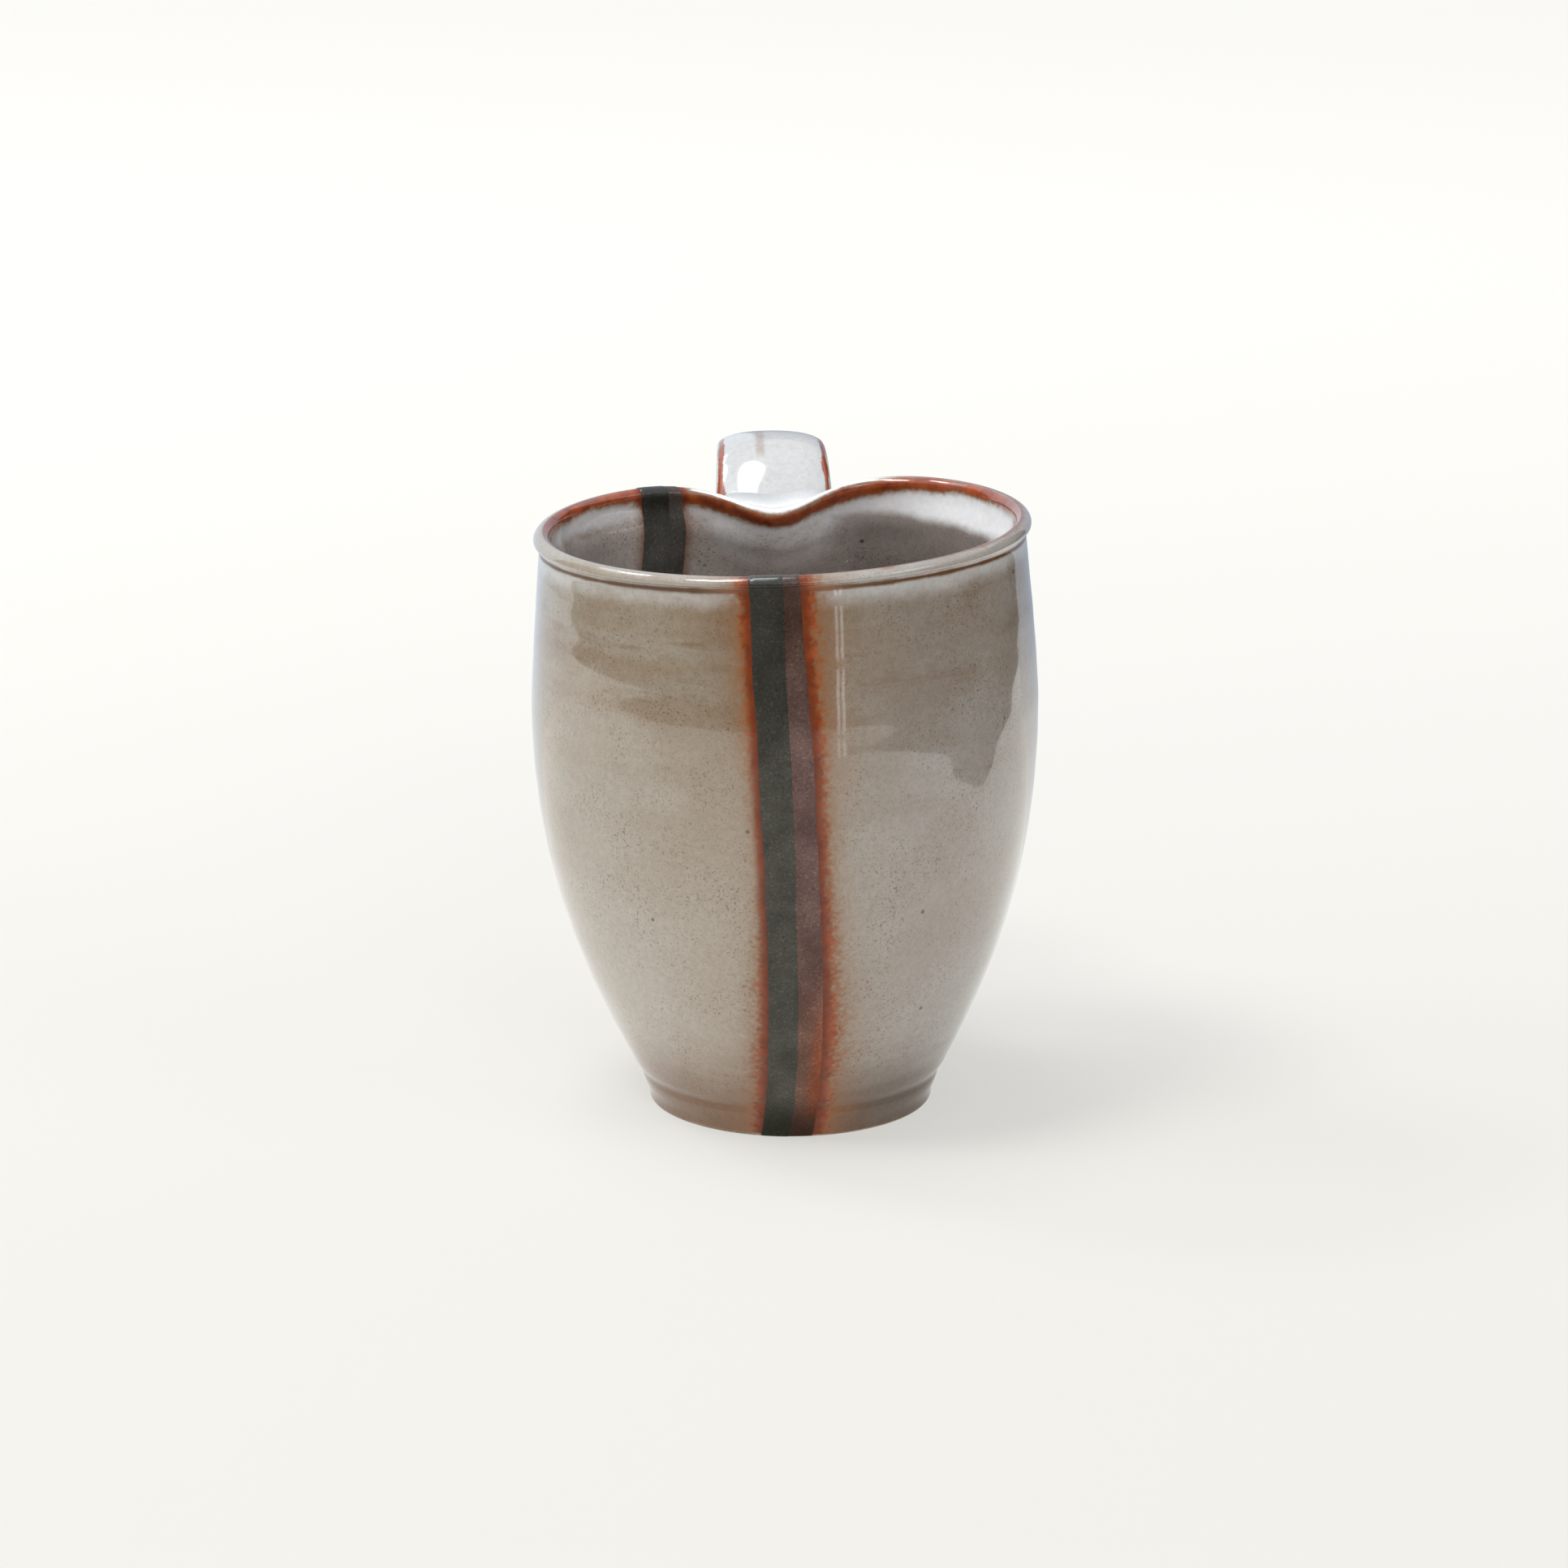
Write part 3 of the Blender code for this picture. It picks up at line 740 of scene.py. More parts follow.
def meeting(strap, wall, turn, outside, way):
    """How far along the strap one line of its skin sinks into the wall, searched from outside."""
    step = MEETING_STEP * way
    distance = outside
    while not buried(wall, strap.point(distance, turn)):
        distance += step
    clear = distance - step
    for _ in range(MEETING_HALVINGS):
        middle = (clear + distance) / 2
        if buried(wall, strap.point(middle, turn)):
            distance = middle
        else:
            clear = middle
    return distance


def buried(wall, point):
    """Whether a point lies inside the clay of the wall."""
    foot, normal, _, _ = wall.find_nearest(point)
    return (point - foot).dot(normal) < 0


def make_strap(strap, ends, material):
    """The strap from wall to wall; each line of its skin runs between its own two meetings with the wall."""
    corners = [STRAP_CORNER, math.pi - STRAP_CORNER, math.pi + STRAP_CORNER, -STRAP_CORNER]

    def place(column, row):
        turn = 2 * math.pi * column / STRAP_SIDES
        start = ends[0][column % STRAP_SIDES] - STRAP_BURIED
        end = ends[1][column % STRAP_SIDES] + STRAP_BURIED
        distance = start + (end - start) * row / STRAP_STATIONS
        _, _, half_width, _ = strap.section(distance)
        point = strap.point(distance, turn)
        across = half_width * rounded(math.cos(turn))
        edge = min((point - strap.point(distance, corner)).length for corner in corners)
        return point, (distance / MILLIMETRE, across / MILLIMETRE, edge / MILLIMETRE)

    work = draped_grid(STRAP_SIDES, STRAP_STATIONS, place, ("along", "across", "from_edge"))
    return closed_tube("pulled_strap", work, material)


def make_lute(name, strap, wall, ends, way, least, climb, material):
    """A fillet of luting clay round one end of the strap, fuller by its climb on the strap's outer face."""

    def profile(column):
        turn = 2 * math.pi * column / LUTE_SIDES
        distance = ends[column % LUTE_SIDES]
        outer = max(math.sin(turn), 0) ** 2
        reach = least + climb * outer
        corner = strap.point(distance, turn)
        strap_out = strap.way_out(distance - way * reach, turn)
        _, wall_out, _, _ = wall.find_nearest(corner)
        sideways = strap_out - wall_out * strap_out.dot(wall_out)
        spread = max(sideways.length, LUTE_LEAST_SPREAD)
        on_strap = strap.point(distance - way * reach, turn) - strap_out * LUTE_SINK
        landing, landing_out, _, _ = wall.find_nearest(corner + sideways.normalized() * reach * spread)
        on_wall = landing - landing_out * LUTE_SINK
        hidden = corner - (strap_out + wall_out) * LUTE_BURIED
        fill = LUTE_FILL * outer * climb / (least + climb)
        hollow = corner.lerp((on_strap + on_wall) / 2, fill)
        return on_strap, hollow, on_wall, hidden

    profiles = [profile(column) for column in range(LUTE_SIDES + 1)]

    def place(column, row):
        on_strap, hollow, on_wall, hidden = profiles[column]
        share = min(row / LUTE_STEPS, 1)
        if row > LUTE_STEPS + 1:
            return on_strap, (0,)
        if row > LUTE_STEPS:
            return hidden, (0.5,)
        point = on_strap * (1 - share) ** 2 + hollow * 2 * share * (1 - share) + on_wall * share**2
        return point, (share,)

    work = draped_grid(LUTE_SIDES, LUTE_STEPS + 2, place, ("to_wall",))
    return new_piece(name, work, material), [landing for _, _, landing, _ in profiles]


def mark_handle(body, landings):
    """Notes on the body how far each vertex lies from the edges of the luting clay."""
    tree = KDTree(len(landings))
    for index, point in enumerate(landings):
        tree.insert(point, index)
    tree.balance()
    attribute = body.data.attributes.new("handle_gap", "FLOAT", "POINT")
    for vertex in body.data.vertices:
        attribute.data[vertex.index].value = tree.find(vertex.co)[2] / MILLIMETRE


# Shader helpers


class Field:
    """A value or colour that changes over a surface; sums of fields build the shader's nodes for them."""

    def __init__(self, socket):
        self.socket = socket
        self.tree = socket.id_data

    def __add__(self, other):
        return calc("ADD", self, other)

    def __sub__(self, other):
        return calc("SUBTRACT", self, other)

    def __rsub__(self, other):
        return calc("SUBTRACT", other, self)

    def __mul__(self, other):
        return calc("MULTIPLY", self, other)

    def __truediv__(self, other):
        return calc("DIVIDE", self, other)


def tree_of(*values):
    """The node tree of the first field among some values."""
    return next(value.tree for value in values if isinstance(value, Field))


def feed(sockets, values):
    """Links each named or numbered socket to its field, or sets its plain value."""
    for key, value in values.items():
        socket = sockets[key]
        if isinstance(value, Field):
            value.tree.links.new(value.socket, socket)
        elif socket.type == "RGBA":
            socket.default_value = (*value, 1)
        else:
            socket.default_value = value


def fields(made):
    """A node's outlets by name."""
    return {socket.name: Field(socket) for socket in made.outputs}


def new_node(tree, kind, inputs, **settings):
    """A shader node with its settings made and its inputs fed."""
    made = tree.nodes.new("ShaderNode" + kind)
    for name, value in settings.items():
        setattr(made, name, value)
    feed(made.inputs, inputs)
    return made


def add(tree, kind, inputs, outlet=0, **settings):
    """The field that one outlet of a new node gives."""
    return Field(new_node(tree, kind, inputs, **settings).outputs[outlet])


def calc(operation, first, second=0.0):
    return add(tree_of(first, second), "Math", {0: first, 1: second}, operation=operation)


def absolute(field):
    return calc("ABSOLUTE", field)


def largest(*choices):
    """The largest of some fields at each place."""
    return reduce(lambda first, second: calc("MAXIMUM", first, second), choices)


def fade(field):
    """1 at nothing, dying away smoothly with distance."""
    return calc("EXPONENT", field * -1)


def rise(field, low, high):
    """0 up to low, 1 from high on and smooth between them; low may be the larger one."""
    inputs = {"Value": field, "From Min": low, "From Max": high}
    return add(field.tree, "MapRange", inputs, interpolation_type="SMOOTHSTEP")


def band(field, low, high, soft):
    """1 between two values and 0 outside, with soft edges."""
    return rise(field, low - soft, low) * rise(field, high + soft, high)


def blend(factor, first, second, mode="MIX"):
    """Two colours mixed."""
    inputs = {0: factor, 6: first, 7: second}
    return add(tree_of(*inputs.values()), "Mix", inputs, outlet=2, data_type="RGBA", blend_type=mode)


def blend_tones(factor, tones, others, mode="MIX"):
    """A pair of tones, thin and thick or dark and light, each mixed with its other."""
    return [blend(factor, tone, other, mode) for tone, other in zip(tones, others)]


def grain(where, scale, detail):
    """Soft noise from 0 to 1; the scale is in grains to the metre."""
    inputs = {"Vector": where, "Scale": scale, "Detail": detail, "Roughness": GRAIN_ROUGHNESS}
    return add(where.tree, "TexNoise", inputs)


def mark(tree, name):
    """A value written on the mesh."""
    return add(tree, "Attribute", {}, outlet="Fac", attribute_name=name)


def object_place(tree):
    return add(tree, "TexCoord", {}, outlet="Object")


def new_group(name, inlets, outlets):
    """A shader node group, the fields given to it and the sockets that take its results."""
    group = bpy.data.node_groups.new(name, "ShaderNodeTree")
    for label, value in inlets.items():
        kind = "NodeSocketColor" if isinstance(value, tuple) else "NodeSocketFloat"
        socket = group.interface.new_socket(label, in_out="INPUT", socket_type=kind)
        socket.default_value = (*value, 1) if isinstance(value, tuple) else value
    for label, kind in outlets.items():
        group.interface.new_socket(label, in_out="OUTPUT", socket_type="NodeSocket" + kind)
    inlet = group.nodes.new("NodeGroupInput")
    return group, fields(inlet), group.nodes.new("NodeGroupOutput").inputs


def use_group(tree, group, **inputs):
    """A group's outlets by name, with its inputs fed."""
    return fields(new_node(tree, "Group", inputs, node_tree=group))


# Effects that several finishes share


def rust_flash_group():
    """Rust that bleeds from a thin edge into the glaze and breaks up into pepper as it fades."""
    group, given, result = new_group("rust_flash", {"Gap": 0.0, "Reach": 1.0}, {"Mask": "Float"})
    where = object_place(group)
    blotch = grain(where, FLASH_GRAIN, 4) - 0.5
    pepper = grain(where, FLASH_PEPPER_GRAIN, 2) - 0.5
    share = given["Gap"] / given["Reach"]
    ragged = (blotch * 1.2 + pepper * 0.8) * rise(share, 0.0, 0.8)
    feed(result, {"Mask": rise(share + ragged, 1.1, 0.2)})
    return group


def glaze_group():
    """Glossy glaze: thin and thick clouds, brown pepper, iron spots, rust where thin, white where pooled and
    where painted highlights are given.
    """
    thin, thick = LUTE_TONES
    inlets = {"Thin": thin, "Thick": thick, "Pepper": 1.0}
    inlets |= {"Cloud": 0.0, "Rust": 0.0, "Deep": 0.0, "White": 0.0}
    group, given, result = new_group("glaze", inlets, SURFACE_OUTLETS)
    where = object_place(group)
    rust = given["Rust"]
    pepper = given["Pepper"]
    mottle = grain(where, MOTTLE_GRAIN, 3)
    cloud = grain(where, CLOUD_GRAIN, 4) + given["Cloud"]
    body = blend(rise(cloud, 0.36, 0.66), given["Thin"], given["Thick"])
    body = blend(rise(mottle, 0.8, 0.2), body, MOTTLE_TINT, "MULTIPLY")

    fine = rise(grain(where, PEPPER_GRAIN, 2), 0.52, 0.72) * pepper
    body = blend(fine * 0.5, body, PEPPER_TINT, "MULTIPLY")
    cluster = rise(grain(where, CLUSTER_GRAIN, 3), 0.32, 0.66)
    dots = rise(grain(where, DOT_GRAIN, 1), 0.59, 0.69) * cluster * pepper
    body = blend(dots * 0.62, body, DOT_COLOUR)

    cells = fields(new_node(group, "TexVoronoi", {"Vector": where, "Scale": SPOT_CELLS}))
    pick = add(group, "SeparateColor", {"Color": cells["Color"]})
    size = rise(pick, 0.5, 1.0) * SPOT_SIZE
    spot = rise(cells["Distance"] - size, SPOT_SOFT, -SPOT_SOFT) * pepper
    body = blend(spot * 0.8, body, SPOT_COLOUR)

    body = blend(given["White"], body, blend(rise(mottle, 0.3, 0.7), *MILKY_TONES))
    ember = rise(grain(where, EMBER_GRAIN, 5), 0.32, 0.68)
    body = blend(rise(rust, 0.0, 0.66), body, OCHRE_COLOUR)
    body = blend(rise(rust, 0.4, 0.8), body, blend(ember, *RUST_TONES))
    rough = rust * 0.14 + rise(mottle, 0.3, 0.8) * 0.05 + 0.09
    relief = grain(where, PEEL_GRAIN, 2) * 0.6 + (dots + spot) * -0.25
    colour = blend(given["Deep"], body, DEEP_RUST_COLOUR)
    feed(result, {"Color": colour, "Roughness": rough, "Height": relief})
    return group


def slip_group():
    """Dry fired slip or bare clay: brushed tone, fine sand and a dull skin."""
    dark, light = CLAY_TONES
    group, given, result = new_group("slip", {"Dark": dark, "Light": light}, SURFACE_OUTLETS)
    where = object_place(group)
    sand = grain(where, SAND_GRAIN, 3)
    body = blend(rise(grain(where, BRUSH_GRAIN, 3), 0.25, 0.8), given["Dark"], given["Light"])
    body = blend(rise(sand, 0.52, 0.72), body, DUST_TINT, "MULTIPLY")
    colour = blend(rise(sand, 0.45, 0.25), body, SOOT_TINT, "MULTIPLY")
    feed(result, {"Color": colour, "Roughness": sand * 0.25 + 0.2, "Height": sand})
    return group


# Finishes


def new_finish(name):
    """A material, its tree and its shader's inputs."""
    made = bpy.data.materials.new(name)
    made.use_nodes = True
    return made, made.node_tree, made.node_tree.nodes["Principled BSDF"].inputs


def finish_surface(looks, outputs, depth, gloss):
    """Feeds a group's colour, roughness and height to the shader, and sets its gloss."""
    height = outputs["Height"]
    bumped = add(height.tree, "Bump", {"Height": height, "Distance": depth, "Strength": 1.0})
    skin = {"Base Color": outputs["Color"], "Roughness": outputs["Roughness"], "Normal": bumped}
    feed(looks, {**skin, **gloss})


def wall_fields(tree):
    """What the body's glaze goes by: places on the wall, and noise that frays every edge."""
    where = object_place(tree)
    sides = fields(new_node(tree, "SeparateXYZ", {0: where}))
    from_lip = mark(tree, "from_lip")
    wisp = grain(where, WISP_GRAIN, 3) - 0.5
    return SimpleNamespace(
        where=where,
        lines=add(tree, "Mapping", {"Vector": where, "Scale": RING_STRETCH}),
        x=sides["X"],
        y=sides["Y"],
        height=sides["Z"],
        top=rise(sides["Z"], *WALL_TOP),
        from_lip=from_lip,
        stripe=mark(tree, "stripe_gap"),
        handle=mark(tree, "handle_gap"),
        inside=rise(from_lip, *CAVITY_START),
        groove=rise(absolute(from_lip - GROOVE_RUN) + wisp * 0.6, 0.7, 0.15),
        wisp=wisp,
        speck=grain(where, SPECK_GRAIN, 3) - 0.5,
    )


def lip_rust(at):
    """Rust along the lip's crest and in the groove by the stripes, with little of it at the front left."""
    by_dent = rise(at.handle, 24.0, 8.0)
    crest = absolute(at.from_lip + 1.2 + by_dent * 0.9) - 0.9
    on_lip = rise(crest + at.wisp * 2.0 + at.speck, 1.9, -1.3)
    front_left = rise(at.y, -0.01, -0.035) * rise(at.x, 0.02, -0.01)
    in_groove = at.groove * rise(at.stripe, 12.0, 0.0)
    return largest(on_lip * (1.0 - front_left * 0.9), in_groove * 0.7)


def stripe_halo(at):
    """Rust that bleeds from the stripes' edges into a wide ochre wash, and its deep red by the edge."""
    low = rise(at.height, 0.055, 0.012)
    high = rise(at.height, 0.062, 0.09)
    blotch = rise(grain(at.where, BLOTCH_GRAIN, 3), 0.35, 0.7)
    swell = (high * 1.3 + low * 2.0) * (blotch * 0.5 + 0.6)
    spread = swell + rise(at.x, -0.006, 0.002) + HALO_SPREAD
    drift = largest(at.stripe + at.wisp * 1.4 + at.speck * 0.8, 0.0)
    bleed = fade(drift / spread) * (at.speck * 2.0 + 0.98)
    wash = fade(largest(at.stripe, 0.0) / WASH_SPREAD) * (blotch * 0.2 + 0.2)
    edge_gap = at.stripe + at.speck * 0.8
    strength = 1.0 - at.inside * 0.6
    halo = largest(bleed, wash, rise(edge_gap, 1.0, 0.0)) * strength
    return halo, rise(edge_gap, 2.0, 0.2) * strength * 0.75


def pooled_white_and_painted_light(at):
    """Glaze that pooled white inside under the lip, round the strap and on the bead, with painted light: the
    band under the lip whiter at the right, a painted highlight along the dent's crest, a painted highlight on
    the shoulder under the bead, and the bead lighter at the right.
    """
    right = rise(at.x, 0.005, 0.04)
    lip_edge = at.from_lip + at.wisp * 2.2
    # Pooled white band inside under the lip, wider at the right where it is lit
    under_lip = rise(lip_edge + 4.6 + right * 2.8, -2.2, 0.0) * rise(lip_edge, -0.2, -2.2)
    by_handle = rise(at.handle + at.wisp * 4.0, 5.0, 0.0)
    # Painted highlight along the crest of the dent
    dent_crest_highlight = band(at.from_lip, -0.2, 0.7, 0.5) * rise(at.handle, 20.0, 10.0)
    # Painted highlight on the shoulder just under the bead
    shoulder_highlight = band(lip_edge, 5.4, 5.6, 2.4) * 0.3
    # Pale glaze on the bead with painted light, lighter at the right
    bead_glaze_and_light = band(at.from_lip, 0.5, 3.6, 0.5) * (rise(at.x, 0.02, -0.03) * -0.08 + 0.17)
    bead = largest(shoulder_highlight, bead_glaze_and_light) * (1.0 - at.groove)
    # Painted light: the band under the lip whiter at the right
    return largest(under_lip * (right * 0.5 + 0.5), by_handle, dent_crest_highlight, bead)


def wall_tones(at):
    """The wall's tones: browner and stained towards the top, a brown line with painted shade in the groove,
    painted shade, darker and cooler, at the right with a painted cool reflection near its top, and painted
    light, paler, at the lower left.
    """
    # Painted shade with a cool reflection on the wall's right side
    shaded_right = rise(at.x, -0.002, 0.022)
    tones = blend_tones(at.top, WALL_TONES, WALL_TOP_TONES)
    tones = blend_tones(shaded_right, tones, RIGHT_SHADE_TINTS, "MULTIPLY")
    # Painted cool reflection on the upper right of the wall
    tones = blend_tones(shaded_right * at.top, tones, RIGHT_TOP_REFLECTION_TINTS, "MULTIPLY")
    stain = rise(grain(at.lines, STAIN_GRAIN, 4) + at.wisp * 0.5, 0.5, 0.72)
    stain = largest(stain, rise(at.stripe, 13.0, 2.0) * 0.8) * (1.0 - shaded_right * 0.45)
    tones = blend_tones(stain * rise(at.height, 0.07, 0.093) * 0.75, tones, STAIN_TONES)
    # Brown glaze with painted shade in the groove under the bead
    tones = blend_tones(at.groove, tones, GROOVE_SHADE_TONES)
    # Painted light on the wall's lower left, from the floor's reflected light
    lit_low_left = rise(at.x, 0.01, -0.025) * rise(at.height, 0.065, 0.025)
    return blend_tones(lit_low_left, tones, LOW_LEFT_LIGHT_TINTS, "MULTIPLY")


def bare_foot(at):
    """Where the glaze runs out towards the foot, its tones there with painted shade at the right, and how dry
    it is.
    """
    sweep = (grain(at.lines, STAIN_GRAIN, 3) - 0.5) * 0.008
    run_out = rise(at.height + sweep + at.wisp * 0.003, 0.022, 0.002)
    crease = band(at.height, 0.0046, 0.0056, 0.0014)
    bare = largest(run_out * 0.9, crease * 0.95)
    # Painted shade: the foot turns darker towards the right
    right = rise(at.x, -0.004, 0.018)
    return bare, blend_tones(right, FOOT_LEFT_TONES, FOOT_SHADE_TONES), bare * (right * 0.6 + 0.4)


def cavity_tones(at):
    """Tones inside the cup: painted shade at the right, and painted light, paler, on the back of the dent."""
    # Painted shade inside the cup, darker towards the right
    shaded = rise(at.x, -0.002, 0.018)
    tones = blend_tones(shaded, CAVITY_LEFT_TONES, CAVITY_SHADE_TONES)
    # Painted light on the inside back of the dent, paler
    return blend_tones(rise(at.handle, 30.0, 14.0) * (1.0 - shaded), tones, DENT_BACK_LIGHT_TONES)


def grey_glaze(groups):
    """The body's glaze: rust on the lip, in the groove and beside the stripes, white under the lip, and
    painted light and shade on the wall, the foot and inside the cup.
    """
    made, tree, looks = new_finish("grey_glaze")
    at = wall_fields(tree)
    halo, deep = stripe_halo(at)
    bare, foot_tones, dry = bare_foot(at)
    tones = blend_tones(bare, wall_tones(at), foot_tones)
    thin, thick = blend_tones(at.inside, tones, cavity_tones(at))
    rings = (grain(at.lines, RING_GRAIN, 2) - 0.5) * 0.8
    cloud = rings * at.top + rise(at.stripe, 14.0, 0.0) * -0.15
    rust = largest(lip_rust(at), halo)
    white = pooled_white_and_painted_light(at)
    glaze = groups["glaze"]
    outputs = use_group(tree, glaze, Thin=thin, Thick=thick, Cloud=cloud, Rust=rust, Deep=deep, White=white)
    dull = largest(dry, largest(halo, at.groove) * 0.8)
    finish_surface(looks, outputs, GLAZE_DEPTH, {**WALL_GLOSS, "Coat Weight": 1.0 - dull})
    return made


def pale_glaze(groups):
    """The strap's glaze, thick and white, with rust along its edges and a brown streak on its back."""
    made, tree, looks = new_finish("pale_glaze")
    where = object_place(tree)
    along = mark(tree, "along")
    patchy = rise(grain(where, PATCH_GRAIN, 3), 0.35, 0.65)
    reach = patchy * (rise(along, 13.0, 6.0) + 0.5) + 0.35
    on_edge = use_group(tree, groups["rust"], Gap=mark(tree, "from_edge") - 0.15, Reach=reach)["Mask"]
    streak_gap = absolute(mark(tree, "across") + STREAK_OFFSET)
    streak = use_group(tree, groups["rust"], Gap=streak_gap, Reach=1.4)["Mask"] * band(along, 18.0, 26.0, 3.0)
    rust = largest(on_edge * (patchy * 0.3 + 0.65), streak * 0.3)
    white = rise(grain(where, VEIL_GRAIN, 3), 0.25, 0.6) * 0.15 + 0.2
    thin, thick = STRAP_TONES
    outputs = use_group(tree, groups["glaze"], Thin=thin, Thick=thick, Rust=rust, White=white, Pepper=0.5)
    finish_surface(looks, outputs, GLAZE_DEPTH, STRAP_GLOSS)
    return made


def lute_glaze(groups):
    """Glaze pooled over the luting clay: white against the strap, greyer where it runs out on the wall."""
    made, tree, looks = new_finish("pooled_glaze")
    white = rise(mark(tree, "to_wall"), 1.6, 0.5)
    thin, thick = LUTE_TONES
    outputs = use_group(tree, groups["glaze"], Thin=thin, Thick=thick, White=white, Pepper=0.5)
    finish_surface(looks, outputs, GLAZE_DEPTH, STRAP_GLOSS)
    return made


def finish_slip(tree, looks, groups, tones):
    """A stripe's dull skin, with a film of glaze where it crosses the lip."""
    dark, light = tones
    film = band(mark(tree, "from_lip"), -1.5, 1.8, 1.2) * 0.7
    outputs = use_group(tree, groups["slip"], Dark=dark, Light=light)
    finish_surface(looks, outputs, SLIP_DEPTH, {**SLIP_GLOSS, "Coat Weight": film})


def dark_slip(groups):
    """Charcoal slip, greener at the foot and blacker at the lip."""
    made, tree, looks = new_finish("dark_slip")
    from_lip = mark(tree, "from_lip")
    tones = blend_tones(band(from_lip, 40.0, 96.0, 25.0), DARK_END_TONES, DARK_TONES)
    tones = blend_tones(rise(from_lip, 100.0, 108.0), tones, DARK_FOOT_TONES)
    tones = blend_tones(rise(from_lip, -3.0, -10.0), tones, DARK_INSIDE_TONES)
    finish_slip(tree, looks, groups, tones)
    return made


def mauve_slip(groups):
    """Mauve slip that turns red-brown towards the foot."""
    made, tree, looks = new_finish("mauve_slip")
    from_lip = mark(tree, "from_lip")
    bleed = rise(mark(tree, "across"), 0.35, 0.95) * rise(from_lip, 70.0, 100.0)
    tones = blend_tones(rise(from_lip, 55.0, 100.0), MAUVE_TONES, MAUVE_LOW_TONES)
    tones = blend_tones(bleed, tones, MAUVE_BLEED_TONES)
    tones = blend_tones(rise(from_lip, 98.0, 108.0), tones, MAUVE_FOOT_TONES)
    tones = blend_tones(rise(from_lip, 34.0, 7.0), tones, MAUVE_TOP_TONES)
    tones = blend_tones(rise(from_lip, 0.0, -4.0), tones, MAUVE_INSIDE_TONES)
    finish_slip(tree, looks, groups, tones)
    return made


def bare_clay(groups):
    """Unglazed stoneware under the foot ring."""
    made, tree, looks = new_finish("bare_clay")
    dark, light = CLAY_TONES
    finish_surface(looks, use_group(tree, groups["slip"], Dark=dark, Light=light), CLAY_DEPTH, {})
    return made


# Studio


def plain_material(name, colour):
    made, _, looks = new_finish(name)
    feed(looks, {**MATT, "Base Color": colour})
    return made


def glowing_material(name, colour, near=None):
    """A glow; where a near colour is given, it is what the card starts with at its near edge."""
    made, tree, looks = new_finish(name)
    glow = blend(mark(tree, "into_card"), near, colour) if near else colour
    feed(looks, {**MATT, "Base Color": (0, 0, 0), "Emission Color": glow, "Emission Strength": 1.0})
    return made


def paper_material():
    """Pale backlit paper, brighter away from a place in front of the cup."""
    made, tree, looks = new_finish("paper")
    ends = {0: object_place(tree), 1: PAPER_FRONT}
    away = add(tree, "VectorMath", ends, outlet="Value", operation="DISTANCE")
    glow = blend(rise(away, *PAPER_NEAR), PAPER_FRONT_GLOW, PAPER_BACK_GLOW)
    glow = blend(rise(away, *PAPER_FAR), glow, PAPER_FAR_GLOW)
    feed(looks, {**MATT, "Base Color": PAPER_COLOUR, "Emission Color": glow, "Emission Strength": 1.0})
    return made


def make_floor():
    work = bmesh.new()
    bmesh.ops.create_grid(work, x_segments=1, y_segments=1, size=FLOOR_SIZE)
    new_piece("floor", work, paper_material())


def reflected_only(piece):
    """A card that shows only as a reflection and throws no shadow."""
    piece.visible_camera = False
    piece.visible_diffuse = False
    piece.visible_shadow = False


def room_edge(turn):
    """How near the dark comes at a turn from the front: nearer at the right, curving away at both ends."""
    bulge = hump(turn - ROOM_BULGE_TURN, ROOM_BULGE_SPREAD)
    away = ease(ROOM_END_FADE, 0, min(turn - ROOM_LEFT_TURN, ROOM_RIGHT_TURN - turn))
    ripple = noise.noise(Vector((turn * RIPPLE_FINENESS, 0, 2)))
    return ROOM_NEAR - ROOM_BULGE * bulge + ROOM_END_SLIP * away + ROOM_RIPPLE * ripple


def make_floor_card(name, first, last, edge, lift, material):
    """A card that lies on the floor from an edge outwards and then stands up, as the gloss shows it."""

    def place(column, row):
        turn = first + (last - first) * column / ROOM_STEPS
        near = edge(turn)
        out = (near, near + ROOM_MARGIN, ROOM_FAR - lift, ROOM_FAR - lift)[row]
        up = ROOM_HEIGHT if row == 3 else lift
        return Vector((out * math.sin(turn), AXIS_Y - out * math.cos(turn), up)), (min(row, 1),)

    work = draped_grid(ROOM_STEPS, 3, place, ("into_card",))
    reflected_only(new_piece(name, work, material))


def make_surroundings():
    """The unlit room in front of the paper, and a cool grey beyond it at both sides."""
    dark = plain_material("unlit", ROOM_COLOUR)
    left = glowing_material("cool_left", COOL_LEFT_COLOUR, PAPER_SEEN)
    right = glowing_material("cool_right", COOL_RIGHT_COLOUR, PAPER_SEEN)
    left_end = ROOM_LEFT_TURN + ROOM_END_FADE
    right_end = ROOM_RIGHT_TURN - ROOM_END_FADE
    make_floor_card("dark_room", ROOM_LEFT_TURN, ROOM_RIGHT_TURN, room_edge, ROOM_LIFT, dark)
    make_floor_card("left_side", -math.pi, left_end, cool_edge(COOL_LEFT_NEAR), COOL_LIFT, left)
    make_floor_card("right_side", right_end, math.pi, cool_edge(COOL_RIGHT_NEAR), COOL_LIFT, right)


def cool_edge(near):
    """How near the cool card comes: close behind the cup, and drawing back towards the front."""
    return lambda turn: near + COOL_SLIP * ease(COOL_SLIP_LAST, COOL_SLIP_FIRST, abs(turn))


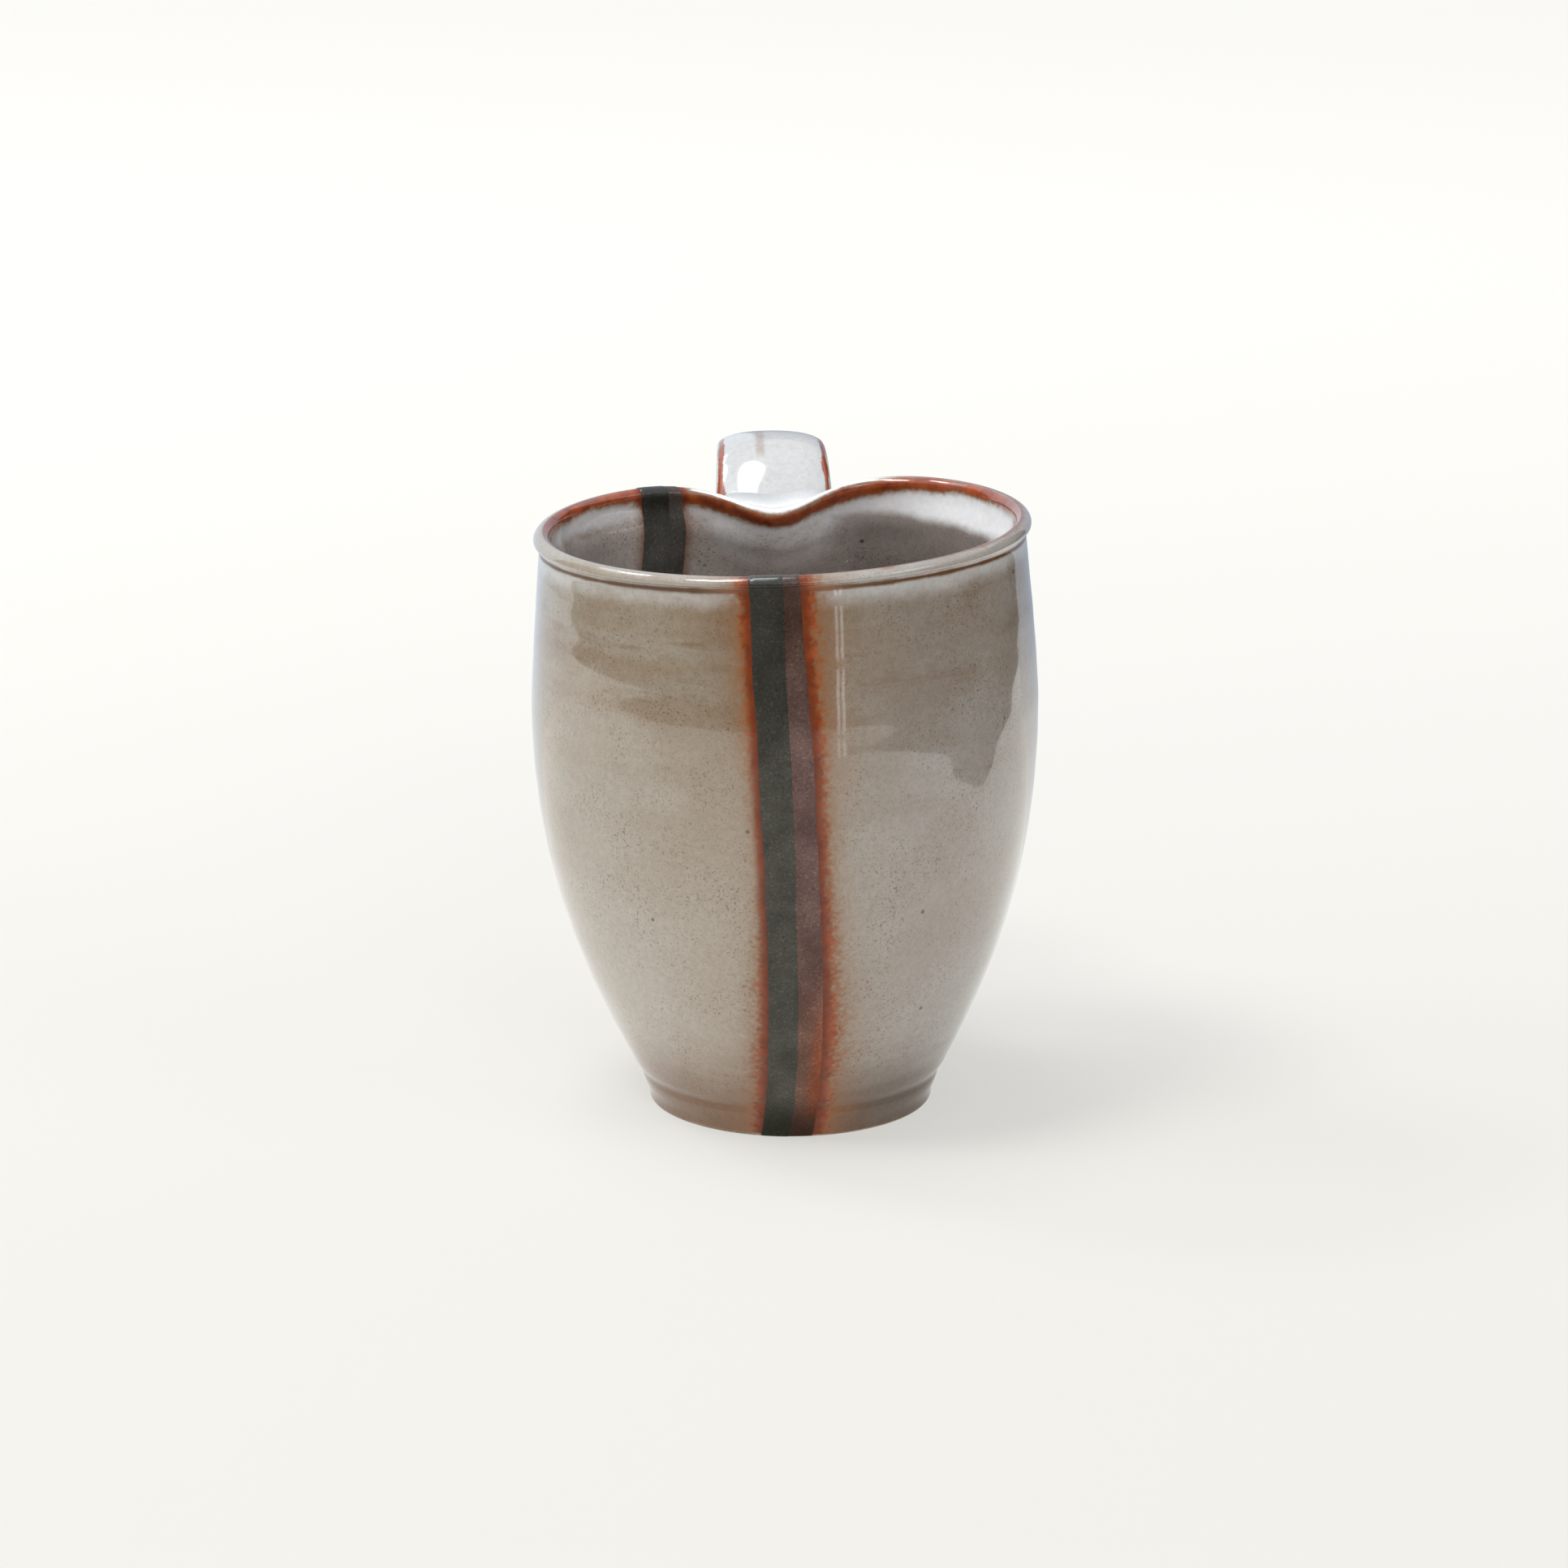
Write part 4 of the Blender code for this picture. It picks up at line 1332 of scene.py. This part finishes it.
def make_bright_strips():
    """Two narrow lit strips in front of the paper, seen as a pair of upright lines in the gloss."""
    material = glowing_material("lit_strip", STRIP_COLOUR)
    for number, turn in enumerate(STRIP_TURNS, start=1):
        place = Vector((math.sin(turn), -math.cos(turn), 0)) * STRIP_OUT
        place += Vector((0, AXIS_Y, STRIP_FOOT + STRIP_HEIGHT / 2))
        work = bmesh.new()
        bmesh.ops.create_cube(work, size=1.0)
        bmesh.ops.scale(work, verts=work.verts, vec=(STRIP_WIDTH, STRIP_DEPTH, STRIP_HEIGHT))
        bmesh.ops.translate(work, verts=work.verts, vec=place)
        reflected_only(new_piece(f"bright_strip_{number}", work, material))


def make_rim_card():
    """A bright card high at the back left, for the line of light along the lip."""

    def place(column, row):
        turn = RIM_CARD_FIRST + (RIM_CARD_LAST - RIM_CARD_FIRST) * column / RIM_CARD_STEPS
        climb = RIM_CARD_LOW + (RIM_CARD_HIGH - RIM_CARD_LOW) * row
        level = RIM_CARD_OUT * math.cos(climb)
        return Vector((level * math.sin(turn), -level * math.cos(turn), RIM_CARD_OUT * math.sin(climb))), ()

    work = draped_grid(RIM_CARD_STEPS, 1, place)
    reflected_only(new_piece("rim_card", work, glowing_material("lit_card", RIM_CARD_COLOUR)))


def make_lamp(name, place, size, power, colour):
    """A soft panel that faces the cup."""
    target = Vector((0, AXIS_Y, LAMP_TARGET_HEIGHT))
    lamp = bpy.data.lights.new(name, "AREA")
    lamp.shape = "ELLIPSE"
    lamp.size, lamp.size_y = size
    lamp.energy = power
    lamp.color = colour
    made = bpy.data.objects.new(name, lamp)
    made.location = place
    made.rotation_euler = (target - Vector(place)).to_track_quat("-Z", "Y").to_euler()
    bpy.context.scene.collection.objects.link(made)


def make_world():
    """Even light all round, a cool sheen for reflections and a white backdrop for what is seen directly."""
    world = bpy.data.worlds.new("studio")
    world.use_nodes = True
    tree = world.node_tree
    path = fields(new_node(tree, "LightPath", {}))
    seen = largest(path["Is Camera Ray"], path["Is Transmission Ray"])
    colour = blend(path["Is Glossy Ray"], AMBIENT_COLOUR, SHEEN_COLOUR)
    feed(tree.nodes["Background"].inputs, {"Color": blend(seen, colour, BACKDROP_COLOUR)})
    bpy.context.scene.world = world


def make_camera():
    camera = bpy.data.cameras.new("camera")
    camera.lens = CAMERA_LENS
    camera.sensor_width = CAMERA_SENSOR
    made = bpy.data.objects.new("camera", camera)
    made.location = CAMERA_PLACE
    made.rotation_euler = (CAMERA_TILT, 0, CAMERA_TURN)
    bpy.context.scene.collection.objects.link(made)
    bpy.context.scene.camera = made


def make_studio():
    make_floor()
    make_surroundings()
    make_bright_strips()
    make_rim_card()
    make_world()
    for lamp in LAMPS:
        make_lamp(*lamp)
    make_camera()
    bpy.context.scene.view_settings.view_transform = "Standard"


# The cup


def ring_of_meetings(strap, wall, sides, start, way):
    return [meeting(strap, wall, 2 * math.pi * side / sides, start, way) for side in range(sides)]


def dress(piece, slot, *nodes):
    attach(piece, "root")
    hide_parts(*nodes)


def main():
    groups = {"rust": rust_flash_group(), "glaze": glaze_group(), "slip": slip_group()}
    stations = clay_stations()
    body = make_body(stations, grey_glaze(groups), bare_clay(groups))
    work = bmesh.new()
    work.from_mesh(body.data)
    wall = BVHTree.FromBMesh(work)
    work.free()

    strap = Strap()
    white = pale_glaze(groups)
    pooled = lute_glaze(groups)
    free_root = STRAP_FREE
    free_tail = strap.length - STRAP_FREE
    strap_ends = [
        ring_of_meetings(strap, wall, STRAP_SIDES, free_root, -1),
        ring_of_meetings(strap, wall, STRAP_SIDES, free_tail, 1),
    ]
    handle = make_strap(strap, strap_ends, white)
    landings = []
    lutes = []
    for name, start, way, reach, climb in (
        ("upper_luting", free_root, -1, UPPER_LUTE_REACH, UPPER_LUTE_CLIMB),
        ("lower_luting", free_tail, 1, LOWER_LUTE_REACH, 0.0),
    ):
        ends = ring_of_meetings(strap, wall, LUTE_SIDES, start, way)
        lute, edge = make_lute(name, strap, wall, ends, way, reach, climb, pooled)
        lutes.append(lute)
        landings += edge
    mark_handle(body, landings)

    painted = [station for station in stations if is_painted(station)]
    slips = {"dark": dark_slip(groups), "mauve": mauve_slip(groups)}
    layers = (("mauve", (1, 2), MAUVE_TUCK, 0.0), ("dark", (0, 1), 0.0, DARK_LIFT))
    for where, angle, dark_side in (("front", FRONT_STRIPE_ANGLE, -1), ("back", BACK_STRIPE_ANGLE, 1)):
        for tone, edges, under, lift in layers:
            name = f"{where}_{tone}_slip"
            stripe = make_stripe(name, painted, angle, dark_side, edges, under, lift, slips[tone])
            dress(stripe, f"{tone}_slip", f"{where}_{tone}_stripe")
    dress(body, "grey_glaze", "cup_body")
    dress(handle, "pale_glaze", "handle_strap")
    dress(lutes[0], "pale_glaze", "upper_lute")
    dress(lutes[1], "pale_glaze", "lower_lute")
    make_studio()


main()
